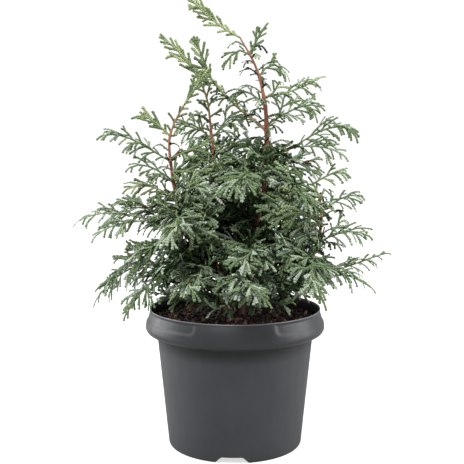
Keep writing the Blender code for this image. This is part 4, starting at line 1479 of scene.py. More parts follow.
@dataclass(frozen=True)
class Habit:
    """The branching rule of one kind of spray.

    Attributes:
        frond_gap: Between fronds on a spray's axis: a fixed part, and a share of the frond.
        frond_angle: Between a frond and the axis, at the foot and at the tip, in degrees.
        longest_frond: Its greatest length.
        reach: How far fronds stand out sideways at most.
        bare: Share of a side spray's axis that carries no fronds.
        gap: Between shoots on a frond: a fixed part, and a share of the frond's length.
        angle: Between a shoot and what carries it, in degrees.
        share: A shoot's length as a share of its carrier's.
        shoot_lengths: The shortest and longest shoot.
        forking: The shortest frond and the shortest shoot that carry others.
        droop: How far a frond and a shoot turn down from foot to tip, in degrees.
        curl: How far a shoot turns towards its carrier's tip, in degrees.
        arch: How far a side spray rises before it falls, as a share of its span.
        hang: How steeply its tip falls, least and most.
        space: Cubic millimetres of a mass that one spray fills.
        axis_width: Width of the leaves on a spray's axis, at its foot and its tip.
        leaf_width: Width of a pair on a frond and on a last shoot.
        leaf_depth: Thickness as a share of the width.
        yellow_rib: Chance that an axis is yellower than what it carries.
        lit: Chance that a frond in a spray's outer half is a tone lighter.
        dry: Chance that a spray's first fronds are withered.
        bark_age: How old the bark is at the foot of a limb and of a side spray.
    """

    frond_gap: Pair = (5.6 * MM, 0.09)
    frond_angle: Pair = (46.0, 32.0)
    longest_frond: float = 32.0 * MM
    reach: float = 17.0 * MM
    bare: float = 0.2
    gap: Pair = (5.4 * MM, 0.05)
    angle: float = 35.0
    share: float = 0.56
    shoot_lengths: Pair = (8.0 * MM, 16.0 * MM)
    forking: Pair = (13.0 * MM, 15.0 * MM)
    droop: Pair = (26.0, 30.0)
    curl: float = 30.0
    arch: float = 0.1
    hang: Pair = (-0.5, 0.4)
    space: float = 20500.0
    axis_width: Pair = (3.3 * MM, 3.0 * MM)
    leaf_width: Pair = (3.4 * MM, 3.2 * MM)
    leaf_depth: float = 0.45
    yellow_rib: float = 0.5
    lit: float = 0.24
    dry: float = 0.3
    bark_age: Pair = (0.5, 0.4)


# The full sprays of the middle, the sparse arching ones at the sides, the leaders' own tips,
# and the short drooping fronds that clothe the leaders' tops
FULL_HABIT = Habit()
WING_HABIT = Habit(
    frond_gap=(4.4 * MM, 0.06), frond_angle=(46.0, 34.0), longest_frond=24.0 * MM,
    reach=13.0 * MM, bare=0.3, gap=(5.0 * MM, 0.05), angle=28.0, share=0.5,
    shoot_lengths=(7.0 * MM, 12.0 * MM), forking=(14.5 * MM, 99.0 * MM), droop=(48.0, 44.0),
    curl=8.0, arch=0.16, hang=(0.3, 0.9), axis_width=(3.0 * MM, 2.5 * MM),
    leaf_width=(2.5 * MM, 2.35 * MM), yellow_rib=0.12, lit=0.12, dry=0.0, bark_age=(0.2, 0.1))
TIP_HABIT = Habit(
    frond_gap=(3.4 * MM, 0.07), frond_angle=(36.0, 22.0), longest_frond=18.0 * MM,
    reach=9.5 * MM, bare=0.05, gap=(5.0 * MM, 0.05), angle=22.0, share=0.5,
    shoot_lengths=(6.0 * MM, 9.0 * MM), forking=(12.5 * MM, 99.0 * MM), droop=(10.0, 12.0),
    curl=8.0, arch=0.04, hang=(-0.2, 0.2), axis_width=(3.4 * MM, 2.9 * MM),
    leaf_width=(2.9 * MM, 2.6 * MM), yellow_rib=0.15, lit=0.1, dry=0.0, bark_age=(0.1, 0.1))
LEADER_HABIT = Habit(
    frond_gap=(4.0 * MM, 0.08), frond_angle=(48.0, 26.0), longest_frond=20.0 * MM,
    reach=12.0 * MM, bare=0.0, gap=(4.4 * MM, 0.05), angle=27.0, share=0.5,
    shoot_lengths=(6.5 * MM, 10.0 * MM), forking=(13.0 * MM, 99.0 * MM), droop=(62.0, 40.0),
    curl=0.0, arch=0.1, hang=(0.0, 0.4), axis_width=(2.6 * MM, 2.6 * MM),
    leaf_width=(2.6 * MM, 2.4 * MM), yellow_rib=0.3, lit=0.3, dry=0.0, bark_age=(0.2, 0.1))
LEAF = 2.7 * MM  # length of one pair of leaves


@dataclass
class Spray:
    """One flat spray: its axis and how far its fronds may reach on each side.

    Attributes:
        line: Its axis.
        side: Unit direction across its flat, before it is squared to the axis.
        reach: How far its fronds reach sideways where it is widest.
        start: Share of its length that carries no fronds.
        hue: Its hue from 0 to 1.
        radius: Radius of its twig at the foot.
        habit: Its branching rule.
    """

    line: Line
    side: Array
    reach: float
    start: float
    hue: float
    radius: float
    habit: Habit

    def face(self, heading: Array) -> Array:
        """Return the normals of its flat, squared to directions along its axis."""
        across = unit(self.side - heading * (heading @ self.side)[:, None])
        return np.cross(heading, across)


class Growth:
    """Grows sprays from its own run of random draws."""

    HANDLE = 0.35  # length of a curve's handles, as a share of its span
    SWING = 0.6  # how far a deep mass's own axis swings aside, as a share of its half width
    STARTS = (0.05, 0.66)  # where along the limb the first spray starts, and the span of starts
    FURTHER = (0.24, 0.42)  # how much further along the limb than its start a spray ends
    FILL = (0.7, 0.95)  # how much of the way to the mass's skin a spray reaches
    TWIGS = (0.95 * MM, 0.6 * MM)  # radii of the limb's own twig and of a side spray's
    HUE_SPREAD = 0.08  # how widely the hues of a mass's sprays are scattered
    CORE = 72.0 * MM  # a distance from the axis, which lessens the painted shade by CORE_SHADE
    CORE_SHADE = 0.62
    AXIS_SHADE = 0.78  # how much painted shade the crown takes at its axis
    LIT_FROM = 0.24  # height above which its painted shade lessens, by LIT_GAIN to a metre
    LIT_GAIN = 3.2

    def __init__(self, seed: int) -> None:
        """Seed the random draws."""
        self.rng = np.random.default_rng(seed)

    def sprays(self, mass: Mass, line: Line) -> list[Spray]:
        """Divide a mass's limb into sprays that fill its space.

        Args:
            mass: The mass.
            line: Its line.

        Returns:
            The sprays, the limb's own first.
        """
        rng = self.rng
        angle = math.radians(mass.bearing)
        across = np.array((-math.sin(angle), math.cos(angle), 0.0))
        roll = np.array([math.radians(mass.roll)])
        forward = line.heading(0.5)
        side = spin_about(across[None], forward, roll)[0]
        up = spin_about(np.cross(forward, across[None]), forward, roll)[0]
        forward = forward[0]
        width, depth = mass.width * MM / 2, mass.depth * MM / 2
        deep = mass.depth >= DEEP_MASS
        open_share = math.cos(roll[0]) ** 2
        habit = FULL_HABIT if deep else WING_HABIT
        if mass.name in TIP_MASSES:
            habit = TIP_HABIT
        main = line
        if deep:
            swing = side * width * rng.choice((-self.SWING, self.SWING))
            tip = line.at(0.95)[0] + (swing - UP * depth * rng.uniform(0.2, 0.7))
            near, far = line.at(0.35)[0], line.at(0.75)[0] + UP * 4.0 * MM
            main = bowed_line(line.at(0.0)[0], near, far, tip)
        found = [Spray(main, side, min(width, habit.reach), 0.06, mass.hue, self.TWIGS[0], habit)]
        space = mass.width * mass.depth * line.length / MM
        count = int(round(space / habit.space))
        for index in range(count):
            start = self.STARTS[0] + self.STARTS[1] * (index + rng.random()) / count
            end = min(1.0, start + rng.uniform(*self.FURTHER))
            if deep:
                turn = math.tau * (index * GOLDEN + rng.uniform(-0.06, 0.06))
            else:
                turn = math.pi * index + rng.uniform(-0.6, 0.6)
            full = max(fullness(np.array([end]))[0], 0.4)
            out = side * math.cos(turn) * width + up * math.sin(turn) * depth
            out *= rng.uniform(*self.FILL) * full
            foot, tip = main.at(start)[0], line.at(end)[0] + out
            if math.hypot(tip[0], tip[1]) < RIM_CLEARED:
                tip[2] = max(tip[2], LOWEST_TIP + rng.uniform(0.0, 8.0) * MM)
            span = np.linalg.norm(tip - foot)
            onward = 0.2 if deep else 0.45
            ending = unit(unit(out) * 0.8 + forward * onward - UP * rng.uniform(*habit.hang))
            near = foot + line.heading(start)[0] * span * self.HANDLE + UP * span * habit.arch
            fork = bowed_line(foot, near, tip - ending * span * self.HANDLE, tip, 24)
            face = forward * open_share * 0.9 + up * (1.0 - 0.6 * open_share) + UP * 0.2
            face = face + rng.normal(0.0, 0.26, 3)
            level = unit(np.cross(unit(face), fork.heading(0.6)[0]))
            reach = min(max(width * 0.5, 8.0 * MM), habit.reach) * rng.uniform(0.8, 1.2)
            hue = mass.hue + rng.normal(0.0, self.HUE_SPREAD)
            found.append(Spray(fork, level, reach, habit.bare, hue, self.TWIGS[1], habit))
        return found

    def axis(self, spray: Spray, tone: int, hue: int) -> Shoots:
        """Clothe a spray's axis, as a chain of short straight shoots.

        Args:
            spray: The spray.
            tone: Its tone's number.
            hue: Its hue's number.

        Returns:
            The shoots.
        """
        first = spray.start * 0.6
        count = max(3, int(spray.line.length * (1.0 - first) / (9.0 * MM)))
        shares = np.linspace(first, 1.0, count + 1)
        feet = spray.line.at(shares)
        steps = np.diff(feet, axis=0)
        heading = unit(steps)
        wide, narrow = spray.habit.axis_width
        wide = wide if spray.reach > 15.0 * MM else 0.5 * (wide + narrow)
        width = wide + (narrow - wide) * shares[:-1]
        depth = 1.0 - 0.45 * shares[:-1]
        return Shoots(feet[:-1], heading, spray.face(heading), np.zeros((count, 3)),
                      np.linalg.norm(steps, axis=1), width, np.full(count, hue),
                      np.full(count, tone), depth)

    def fronds(self, spray: Spray, shade: float) -> Shoots:
        """Grow the fronds along one spray's axis, and its leafy tip.

        Args:
            spray: The spray.
            shade: How much painted shade it takes, by where it lies in the crown, from 0 to 1.

        Returns:
            The fronds.
        """
        rng, habit = self.rng, spray.habit
        length = spray.line.length
        wide, narrow = habit.frond_angle
        run, rows = spray.start * length, []
        while run < 0.95 * length:
            share = run / length
            lean = math.radians(wide + (narrow - wide) * share + rng.normal(0.0, 6.0))
            reach = spray.reach * max(float(fullness(np.array(share))), 0.35) / math.sin(lean)
            reach *= rng.uniform(0.7, 1.15)
            reach = min(max(reach, 7.5 * MM), habit.longest_frond, (length - run) * 0.9 + 7.5 * MM)
            rows.append((share, lean, reach))
            gap = habit.frond_gap[0] + habit.frond_gap[1] * reach
            run += gap * rng.uniform(0.8, 1.2)
        shares, lean, reach = np.array(rows).T
        count = len(rows)
        heading = spray.line.heading(shares)
        face = unit(spray.face(heading) + rng.normal(0.0, 0.16, heading.shape))
        across = unit(np.cross(face, heading))
        out = self.leaning(heading, across, lean, np.arange(count) + rng.integers(2))
        fall = math.radians(habit.droop[0]) / reach * rng.uniform(0.5, 1.5, count)
        bend = self.falling(out, fall) + self.curling(out, heading, habit, reach)
        hue, tone = self.tints(np.full(count, spray.hue), shade)
        lit = (shares > 0.45) & (rng.random(count) < habit.lit)
        tone = np.minimum(tone + lit, TONES - 1)
        dry = (shares < spray.start + 0.14) & (rng.random() < habit.dry)
        hue = np.where(dry, GREENS, hue)
        reach = np.where(dry, reach * 0.62, reach)
        width = np.full(count, habit.leaf_width[0]) * rng.uniform(0.92, 1.08, count)
        depth = np.full(count, habit.leaf_depth)
        made = Shoots(spray.line.at(shares), out, face, bend, reach, width, hue, tone, depth)
        tip_length = np.array([rng.uniform(7.0, 11.0) * MM])
        tip_heading = spray.line.heading(0.99)
        tip_bend = self.falling(tip_heading, math.radians(habit.droop[1]) / tip_length)
        tip = Shoots(spray.line.at(0.98), tip_heading, face[-1:], tip_bend, tip_length,
                     np.array([habit.axis_width[1]]), hue[-1:], tone[-1:], depth[-1:])
        rib = min(int(spray.hue * GREENS) + int(rng.random() < habit.yellow_rib), GREENS - 1)
        rib = max(rib, 0)
        return Shoots.joined([made, tip, self.axis(spray, int(tone[0]), rib)])

    @staticmethod
    def falling(headings: Array, falls: Array) -> Array:
        """Return bends that turn shoots down, at so many radians to a metre."""
        pull = -UP - headings * (headings @ -UP)[:, None]
        return pull * falls[:, None]

    @staticmethod
    def leaning(heading: Array, across: Array, lean: Array,
                turns: Array) -> Array:
        """Return directions that lean off headings by angles, left and right in turn."""
        way = np.where(turns % 2 == 0, 1.0, -1.0)
        return heading * np.cos(lean)[:, None] + across * (way * np.sin(lean))[:, None]

    @staticmethod
    def curling(out: Array, heading: Array, habit: Habit,
                length: Array) -> Array:
        """Return bends that turn shoots towards their carriers' headings."""
        turn = heading - out * np.sum(heading * out, 1, keepdims=True)
        return turn * (math.radians(habit.curl) / length)[:, None]

    def tints(self, hues: Array, shade: float) -> tuple[Array, Array]:
        """Deal each shoot its hue, and its tone by painted shade.

        Args:
            hues: Wanted hues, from 0 to 1.
            shade: How much painted shade they take, from 0 to 1.

        Returns:
            The hue numbers and the tone numbers.
        """
        rng = self.rng
        hues = hues + rng.normal(0.0, 0.11, len(hues))
        hue = np.clip(hues * GREENS, 0, GREENS - 0.01).astype(int)
        light = 1.0 - shade + rng.normal(0.0, 0.17, len(hues))
        tone = np.where(light < 0.4, Tone.DEEP.value,
                        np.where(light > 1.16, Tone.BLOOM.value, Tone.FULL.value))
        return hue, tone

    def forks(self, carriers: Shoots, habit: Habit, last: bool) -> Shoots:
        """Grow the next order of shoots along their carriers, left and right in turn.

        Args:
            carriers: The shoots that carry them.
            habit: Their branching rule.
            last: Whether these carry no others.

        Returns:
            The new shoots.
        """
        rng = self.rng
        gap = habit.gap[0] + habit.gap[1] * carriers.length
        first = np.minimum(3.4 * MM, carriers.length * 0.22)
        room = carriers.length - first - 1.4 * MM
        count = np.maximum((room / gap).astype(int), 0)
        rows, order = dealt(count)
        runs = first[rows] + gap[rows] * (order + rng.uniform(-0.2, 0.2, len(rows)) + 0.3)
        runs = np.clip(runs, 0.0, carriers.length[rows])
        share = runs / carriers.length[rows]
        heading = carriers.along(rows, runs)
        across = unit(np.cross(carriers.face[rows], heading))
        parity = rng.integers(0, 2, len(carriers))[rows]
        lean = np.radians(habit.angle - 10.0 * share + rng.normal(0.0, 6.0, len(rows)))
        out = self.leaning(heading, across, lean, order + parity)
        out = unit(out + rng.normal(0.0, 0.07, out.shape))
        taper = np.clip(1.12 - share, 0.15, 1.0) ** 0.6 * np.clip(0.6 + share * 2.0, 0.0, 1.0)
        length = habit.share * carriers.length[rows] * taper * rng.uniform(0.75, 1.2, len(rows))
        length = np.clip(length, *habit.shoot_lengths)
        face = carriers.face[rows] + rng.normal(0.0, 0.14, out.shape)
        face = unit(face - out * np.sum(face * out, 1, keepdims=True))
        fall = math.radians(habit.droop[1]) / length * rng.uniform(0.3, 1.6, len(rows))
        bend = self.falling(out, fall) + self.curling(out, heading, habit, length)
        lift = rng.random(len(rows)) < (0.2 if last else 0.12)
        tone = np.minimum(carriers.tone[rows] + lift, TONES - 1)
        width = np.full(len(rows), habit.leaf_width[1]) * rng.uniform(0.88, 1.1, len(rows))
        depth = np.full(len(rows), habit.leaf_depth)
        return Shoots(carriers.at(rows, runs), out, face, bend, length, width,
                      carriers.hue[rows], tone, depth)

    def shade_at(self, place: Array) -> float:
        """Return how much painted shade a place in the crown takes.

        Args:
            place: The place.

        Returns:
            From 0 at the crown's skin upwards.
        """
        out = math.hypot(place[0], place[1]) / self.CORE
        high = max(0.0, place[2] - self.LIT_FROM) * self.LIT_GAIN
        return max(float(self.AXIS_SHADE - self.CORE_SHADE * out - high), 0.0)

    def grow(self, sprays: list[Spray], twigs: Tubes, shade: float = 0.0) -> Shoots:
        """Grow everything that sprays carry.

        Args:
            sprays: The sprays.
            twigs: Takes the sprays' twigs.
            shade: The least painted shade they take, from 0 to 1.

        Returns:
            Every leafy shoot.
        """
        found = []
        for number, spray in enumerate(sprays):
            habit = spray.habit
            fronds = self.fronds(spray, max(shade, self.shade_at(spray.line.at(0.7)[0])))
            carrying = fronds.chosen(fronds.length > habit.forking[0])
            found.append(fronds)
            if len(carrying):
                branched = self.forks(carrying, habit, False)
                carrying = branched.chosen(branched.length > habit.forking[1])
                found.append(branched)
            if len(carrying):
                found.append(self.forks(carrying, habit, True))
            steps = np.linspace(0.0, 0.97, max(4, int(spray.line.length / (8.0 * MM))))
            radii = spray.radius * (1.0 - 0.6 * steps**0.6)
            first = habit.bark_age[min(number, 1)]
            ages = first * (1.0 - np.clip(steps / 0.5, 0.0, 1.0) ** 0.7)
            twigs.add(spray.line.at(steps), spray.line.heading(steps), radii, ages)
        return Shoots.joined(found)


class Leaves:
    """Turns shoots into overlapping pairs of scale leaves."""

    # The outline of a pair: foot, widest place and tip; then the ridges above and below
    CORNERS = np.array(((0.0, -0.36, 0.0), (0.66, -0.5, 0.0), (1.0, 0.0, 0.0), (0.66, 0.5, 0.0),
                        (0.0, 0.36, 0.0), (0.5, 0.0, 0.5), (0.5, 0.0, -0.5)))
    SIDES = np.array(((1, 0, 5), (2, 1, 5), (3, 2, 5), (4, 3, 5), (0, 4, 5),
                      (0, 1, 6), (1, 2, 6), (2, 3, 6), (3, 4, 6), (4, 0, 6)))
    # How many tones of painted shade each side takes: the sides below are painted a tone darker, as
    # shade
    UNDER = np.array((0, 0, 0, 0, 0, 1, 1, 1, 1, 1))

    def mesh(self, shoots: Shoots) -> Mesh:
        """Clothe shoots in leaves.

        Args:
            shoots: The shoots.

        Returns:
            One joined mesh, with a material number for each tint.
        """
        count = np.maximum(np.round(shoots.length / LEAF).astype(int), 2)
        rows, order = dealt(count)
        pitch = (shoots.length / count)[rows]
        middle = shoots.at(rows, pitch * (order + 0.5))
        heading = shoots.along(rows, pitch * (order + 0.5))
        across = unit(np.cross(shoots.face[rows], heading))
        over = np.cross(heading, across)
        last = order == count[rows] - 1
        share = (order + 0.5) / count[rows]
        width = shoots.width[rows] * (0.84 + 0.24 * share)
        long = pitch * np.where(last, 1.25, 1.42)
        depth = width * shoots.depth[rows]
        corners = self.CORNERS[None]
        points = (middle[:, None, :]
                  + heading[:, None, :] * ((corners[:, :, 0:1] - 0.5) * long[:, None, None])
                  + across[:, None, :] * (corners[:, :, 1:2] * width[:, None, None])
                  + over[:, None, :] * (corners[:, :, 2:3] * depth[:, None, None]))
        shift = (np.arange(len(rows)) * len(self.CORNERS))[:, None, None]
        faces = (self.SIDES[None] + shift).reshape(-1, 3)
        tone = shoots.tone[rows][:, None] - self.UNDER[None]
        tints = shoots.hue[rows][:, None] * TONES + np.maximum(tone, 0)
        return mesh_of(points.reshape(-1, 3), faces, tints.ravel())


@dataclass(frozen=True)
class SprigRun:
    """Small sprays that sit straight on a stem.

    Attributes:
        stem: The stem.
        region: The piece that takes them.
        heights: Where they start and end, in mm.
        gap: Height between them, in mm.
        lengths: Their lengths at the bottom and at the top, in mm.
        hue: Their hue from 0 to 1.
    """

    stem: str
    region: str
    heights: Pair
    gap: float
    lengths: Pair
    hue: float


SPRIG_RUNS = (
    SprigRun("trunk", "crown_sprays", (190, 424), 6.0, (54, 15), 0.4),
    SprigRun("left_leader", "left_sprays", (200, 322), 6.5, (48, 14), 0.4),
    SprigRun("middle_leader", "crown_sprays", (200, 344), 7.0, (54, 26), 0.5),
    SprigRun("inner_leader", "crown_sprays", (340, 384), 6.0, (26, 14), 0.6),
    SprigRun("right_leader", "right_sprays", (192, 276), 6.5, (36, 14), 0.4),
    SprigRun("trunk", "inner_sprays", (184, 268), 2.4, (62, 40), 0.35),
    SprigRun("left_leader", "inner_sprays", (176, 244), 3.0, (58, 36), 0.35),
    SprigRun("middle_leader", "inner_sprays", (192, 276), 3.0, (54, 34), 0.35),
    SprigRun("right_bough", "inner_sprays", (179, 190), 1.6, (40, 36), 0.35),
    SprigRun("left_low_bough", "inner_sprays", (184, 190), 1.2, (38, 32), 0.35),
    SprigRun("left_far_bough", "inner_sprays", (233, 241), 1.6, (34, 26), 0.35),
    SprigRun("right_wing_bough", "inner_sprays", (299, 315), 2.8, (26, 22), 0.4),
)


# Leaders clothed in short fronds up to the tip: stem, piece, height they start at, reach, hue
LEAFY_TOPS = (
    ("left_leader", "left_sprays", 320.0, 8.0, 0.75),
    ("middle_leader", "crown_sprays", 318.0, 11.0, 0.8),
    ("inner_leader", "crown_sprays", 336.0, 8.0, 0.85),
    ("right_leader", "right_sprays", 236.0, 6.0, 0.5),
)


@dataclass(frozen=True)
class Mantle:
    """Sprays that close the crown's skin between the masses.

    Attributes:
        heights: Lowest and highest tip, in mm.
        outline: The skin's radius by height, in mm.
        centre: Where the crown's middle lies, in mm.
        count: How many sprays it has.
        open_side: Half angle round +X and -X that stays open, in degrees.
        closed_below: Height under which the sides are closed as well, in mm.
        hollow: A place in front without skin: its span across and its span in height, in mm.
        leafy: Leafy length of a spray, in mm.
    """

    heights: Pair = (172.0, 322.0)
    outline: tuple[Pair, ...] = (
        (150, 88), (175, 106), (205, 106), (235, 95), (265, 80), (295, 64), (325, 46), (350, 34))
    centre: Pair = (6.0, 2.0)
    count: int = 270
    open_side: float = 30.0
    closed_below: float = 185.0
    hollow: tuple[Pair, Pair] = ((-12.0, 34.0), (231.0, 257.0))
    leafy: Pair = (50.0, 68.0)

    def sprays(self, skeleton: Skeleton, rng: np.random.Generator) -> list[tuple[str, Spray]]:
        """Set the sprays over the skin.

        Args:
            skeleton: The lines.
            rng: Source of random draws.

        Returns:
            (piece, spray) pairs.
        """
        low, high = self.heights
        heights, radii = np.array(self.outline).T
        found = []
        for index in range(self.count):
            share = (index + 0.5) / self.count
            height = low + (high - low) * share**1.35
            bearing = math.tau * (index * GOLDEN + rng.uniform(-0.03, 0.03))
            from_side = abs((math.degrees(bearing) + 90.0) % 180.0 - 90.0)
            if from_side < self.open_side and height > self.closed_below:
                continue
            radius = float(np.interp(height, heights, radii)) * rng.uniform(0.82, 1.0)
            outward = np.array((math.cos(bearing), math.sin(bearing), 0.0))
            tip = np.array((*self.centre, height)) * MM + outward * radius * MM
            (left, right), (floor, roof) = self.hollow
            across = tip[0] / MM
            if outward[1] < 0.0 and left < across < right and floor < height < roof:
                continue
            foot = self.nearest(skeleton, tip, rng.uniform(12.0, 34.0) * MM)
            tangent = np.cross(UP, outward)
            ending = unit(outward * 0.35 + tangent * rng.uniform(-1.0, 1.0)
                          + UP * rng.uniform(-0.5, 0.6))
            span = float(np.linalg.norm(tip - foot))
            near = foot + (outward + UP * 0.35) * span * 0.35
            line = bowed_line(foot, near, tip - ending * span * 0.36, tip, 32)
            face = outward * 0.85 + UP * 0.35 + rng.normal(0.0, 0.28, 3)
            level = unit(np.cross(unit(face), line.heading(0.7)[0]))
            leafy = rng.uniform(*self.leafy) * MM
            start = max(0.12, 1.0 - leafy / line.length)
            reach = rng.uniform(12.0, 18.0) * MM
            front = outward[1] < 0.0
            region = "front_skin_sprays" if front else "back_skin_sprays"
            hue = 0.3 + 0.1 * (height > 240.0) + rng.normal(0.0, 0.12)
            found.append((region, Spray(line, level, reach, start, hue, 0.8 * MM, FULL_HABIT)))
        return found

    @staticmethod
    def nearest(skeleton: Skeleton, tip: Array, drop: float) -> Array:
        """Return the stem point nearest a tip's column, a little under it.

        Args:
            skeleton: The lines.
            tip: The spray's tip.
            drop: How far under the tip it should start.

        Returns:
            The point.
        """
        best, least = tip, math.inf
        for stem in STEMS:
            points = skeleton.lines[stem.name].points
            away = np.abs(points[:, 2] - (tip[2] - drop)) * 3.0
            away = away + np.linalg.norm(points[:, :2] - tip[None, :2], axis=1)
            row = int(np.argmin(away))
            if away[row] < least:
                best, least = points[row], float(away[row])
        return best


class Crown:
    """All the foliage, in joined pieces by region."""

    REGIONS = (
        ("tip_sprays", "tip_foliage", TIP_MASSES),
        ("crown_sprays", "foliage", ("crown_", "right_wing", "right_inner", "middle_", "inner_")),
        ("left_sprays", "foliage", ("left_",)),
        ("right_sprays", "foliage", ("right_",)),
        ("front_upper_sprays", "foliage", ("front_upper",)),
        ("front_low_sprays", "foliage", ("front_",)),
        ("back_low_sprays", "foliage", ("back_left", "back_low", "back_right_low")),
        ("back_upper_sprays", "foliage", ("back_",)),
        ("inner_sprays", "foliage", ()),
        ("front_skin_sprays", "foliage", ()),
        ("back_skin_sprays", "foliage", ()),
    )

    def __init__(self, skeleton: Skeleton, seed: int = 40) -> None:
        """Keep the lines, and the seed of the first mass, to which each adds its number."""
        self.skeleton = skeleton
        self.seed = seed

    def region_of(self, mass: Mass) -> str:
        """Return the piece that a mass's foliage goes into."""
        return next(name for name, _, starts in self.REGIONS if mass.name.startswith(starts))

    def sprigs(self, run: SprigRun, rng: np.random.Generator) -> list[Spray]:
        """Set small sprays along a stem.

        Args:
            run: Where they go.
            rng: Source of random draws.

        Returns:
            The sprays.
        """
        stem = self.skeleton.lines[run.stem]
        low, high = run.heights
        heights = np.arange(low, high, run.gap)
        found = []
        for index, height in enumerate(heights):
            up = (height - low) / (high - low)
            bearing = math.tau * (index * GOLDEN + rng.uniform(-0.05, 0.05))
            length = (run.lengths[0] + (run.lengths[1] - run.lengths[0]) * up) * MM
            length *= rng.uniform(0.75, 1.15)
            share = stem.share_at_height(height * MM)
            foot = stem.at(share)[0]
            flat = np.array((math.cos(bearing), math.sin(bearing), 0.0))
            rise = rng.uniform(0.0, 0.5)
            tip = foot + unit(flat + UP * rise) * length
            near = foot + unit(flat + UP * 0.9) * length * 0.36
            line = bowed_line(foot, near, tip + (UP * 0.16 - flat * 0.28) * length, tip, 16)
            level = unit(np.cross(UP, flat) + UP * rng.normal(0.0, 0.5))
            hue = run.hue + rng.normal(0.0, 0.08)
            habit = FULL_HABIT if run.region == "inner_sprays" else WING_HABIT
            found.append(Spray(line, level, length * 0.36, 0.14, hue, 0.5 * MM, habit))
        return found

    def leafy_top(self, name: str, height: float, reach: float, hue: float) -> Spray:
        """Return a spray whose axis is the upper part of a leader.

        Args:
            name: The leader.
            height: Where it starts, in mm.
            reach: How far its fronds stand out, in mm.
            hue: Its hue from 0 to 1.

        Returns:
            The spray.
        """
        stem = self.skeleton.lines[name]
        line = Line(stem.at(np.linspace(stem.share_at_height(height * MM), 1.0, 40)))
        side = np.array((-1.0, -0.25, 0.0))
        return Spray(line, side, reach * MM, 0.0, hue, 0.5 * MM, LEADER_HABIT)

    def build(self) -> None:
        """Grow every mass and make the pieces."""
        tints = [tint.material() for tint in LEAF_TINTS]
        bark = Bark().material()
        twigs = Tubes(4)
        regions: dict[str, list[Shoots]] = {name: [] for name, _, _ in self.REGIONS}
        nodes: dict[str, list[str]] = {name: [] for name, _, _ in self.REGIONS}
        for number, mass in enumerate(MASSES):
            growth = Growth(self.seed + number)
            region = self.region_of(mass)
            sprays = growth.sprays(mass, self.skeleton.lines[mass.name])
            regions[region].append(growth.grow(sprays, twigs))
            nodes[region].append(mass.name)
        for number, run in enumerate(SPRIG_RUNS):
            growth = Growth(self.seed + 100 + number)
            shade = INNER_SHADE if run.region == "inner_sprays" else 0.0
            regions[run.region].append(growth.grow(self.sprigs(run, growth.rng), twigs, shade))
        growth = Growth(self.seed + 150)
        for name, region, height, reach, hue in LEAFY_TOPS:
            spray = self.leafy_top(name, height, reach, hue)
            regions[region].append(growth.grow([spray], twigs))
        growth = Growth(self.seed + 200)
        for region, spray in Mantle().sprays(self.skeleton, growth.rng):
            regions[region].append(growth.grow([spray], twigs))
        leaves = Leaves()
        for name, slot, _ in self.REGIONS:
            mesh = leaves.mesh(Shoots.joined(regions[name]))
            new_piece(name, mesh, tints, slot, *nodes[name])
        new_piece("twigs", twigs.mesh(), [bark], "bark")


# Studio


@dataclass(frozen=True)
class Softbox:
    """One soft lamp.

    Attributes:
        name: Its name.
        place: Where it stands.
        size: Its width and height.
        power: Its power in watts.
        target: What it points at.
    """

    name: str
    place: Triple
    size: Pair
    power: float
    target: Triple = (0.0, 0.0, 0.2)

    def build(self) -> None:
        """Put the lamp in the scene."""
        lamp = bpy.data.lights.new(self.name, "AREA")
        lamp.shape = "RECTANGLE"
        lamp.size, lamp.size_y = self.size
        lamp.energy = self.power
        obj = put(self.name, lamp)
        obj.location = self.place
        aim = Vector(self.target) - Vector(self.place)
        obj.rotation_euler = aim.to_track_quat("-Z", "Y").to_euler()


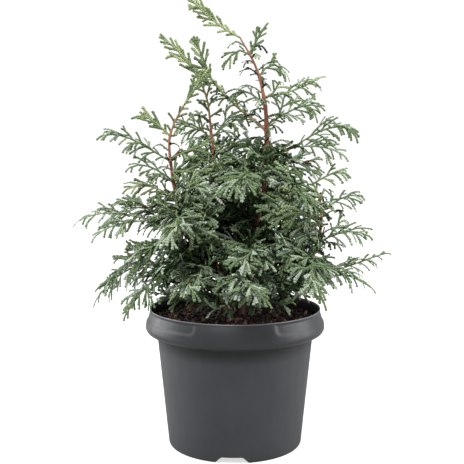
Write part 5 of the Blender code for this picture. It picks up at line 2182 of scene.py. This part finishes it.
@dataclass
class Studio:
    """A pale floor, a pale surround, soft lamps and the camera.

    Attributes:
        eye: Where the camera stands.
        pitch: How far it looks down, in radians.
        lens: Its focal length on a 36 mm sensor, in mm.
        floor_radius: Radius of the floor.
        floor_shade: How much light the floor returns.
        floor_glow: How much paler than that the camera sees it.
        horizon: Strength of the surround's light at the horizon.
        zenith: Its strength above.
        front: Its share that comes from in front.
        front_edge: How far back, from -1 to 1, that share has risen to the whole.
        backdrop: Its strength as the camera sees it.
        lamps: The lamps.
    """

    eye: Triple = (-0.0032, -0.9067, 0.3259)
    pitch: float = 0.1094
    lens: float = 67.0
    floor_radius: float = 6.0
    floor_shade: float = 0.38
    floor_glow: float = 0.66
    horizon: float = 0.8
    zenith: float = 1.6
    front: float = 0.42
    front_edge: float = 0.4
    backdrop: float = 1.05
    lamps: tuple[Softbox, ...] = (
        Softbox("left_softbox", (-1.1, 0.35, 0.45), (0.7, 1.1), 15.0),
        Softbox("right_softbox", (1.15, -0.05, 0.45), (0.7, 1.1), 14.5),
        Softbox("top_softbox", (0.0, 0.1, 1.6), (1.2, 1.2), 10.0),
        Softbox("key_softbox", (-0.55, -1.3, 1.9), (0.8, 0.8), 46.0),
    )

    def build_floor(self) -> None:
        """Make the pale floor."""
        bm = bmesh.new()
        bmesh.ops.create_circle(bm, cap_ends=True, segments=96, radius=self.floor_radius)
        mesh = finished(bm, "floor")
        surface = Surface("pale_floor", 0.9, 0.1)
        surface.shader.inputs["Base Color"].default_value = (*(self.floor_shade,) * 3, 1.0)
        surface.shader.inputs["Emission Color"].default_value = WHITE
        path = surface.node("ShaderNodeLightPath")
        glow = surface.spread(path.outputs["Is Camera Ray"], 0.0, self.floor_glow, 0.0, 1.0)
        surface.link(glow, surface.shader.inputs["Emission Strength"])
        mesh.materials.append(surface.material)
        put("floor", mesh)

    def build_surround(self) -> None:
        """Surround the scene with soft light, strongest above and weakest in front."""
        world = bpy.data.worlds.new("surround")
        bpy.context.scene.world = world
        world.use_nodes = True
        sky = Nodes(world.node_tree)
        shade = next(n for n in sky.tree.nodes if n.type == "BACKGROUND")
        shade.inputs["Color"].default_value = WHITE
        parts = sky.node("ShaderNodeSeparateXYZ")
        sky.link(sky.node("ShaderNodeTexCoord").outputs["Generated"], parts.inputs[0])
        height = sky.spread(parts.outputs["Z"], self.horizon, self.zenith, 0.0, 1.0)
        depth = sky.spread(parts.outputs["Y"], self.front, 1.0, -1.0, self.front_edge)
        both = sky.node("ShaderNodeMath")
        both.operation = "MULTIPLY"
        sky.link(height, both.inputs[0])
        sky.link(depth, both.inputs[1])
        path = sky.node("ShaderNodeLightPath")
        seen = sky.node("ShaderNodeMix")
        seen.inputs[3].default_value = self.backdrop
        sky.link(path.outputs["Is Camera Ray"], seen.inputs[0])
        sky.link(both.outputs[0], seen.inputs[2])
        sky.link(seen.outputs[0], shade.inputs["Strength"])

    def build_camera(self) -> None:
        """Make the camera."""
        camera = bpy.data.cameras.new("camera")
        camera.lens = self.lens
        camera.sensor_width = SENSOR
        camera.clip_start, camera.clip_end = 0.01, 50.0
        obj = put("camera", camera)
        obj.location = self.eye
        obj.rotation_euler = (math.pi / 2 - self.pitch, 0.0, 0.0)
        bpy.context.scene.camera = obj

    def build(self) -> None:
        """Set up the studio."""
        self.build_floor()
        self.build_surround()
        self.build_camera()
        for lamp in self.lamps:
            lamp.build()
        bpy.context.scene.view_settings.view_transform = "Standard"


def main() -> None:
    """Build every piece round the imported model."""
    logging.basicConfig(level=logging.INFO, format="%(message)s")
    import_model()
    skeleton = Skeleton()
    pot = Pot()
    pot.build()
    PeatBed().build(pot)
    Wood(skeleton).build()
    Crown(skeleton).build()
    Studio().build()
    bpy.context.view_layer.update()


if __name__ == "__main__":
    main()
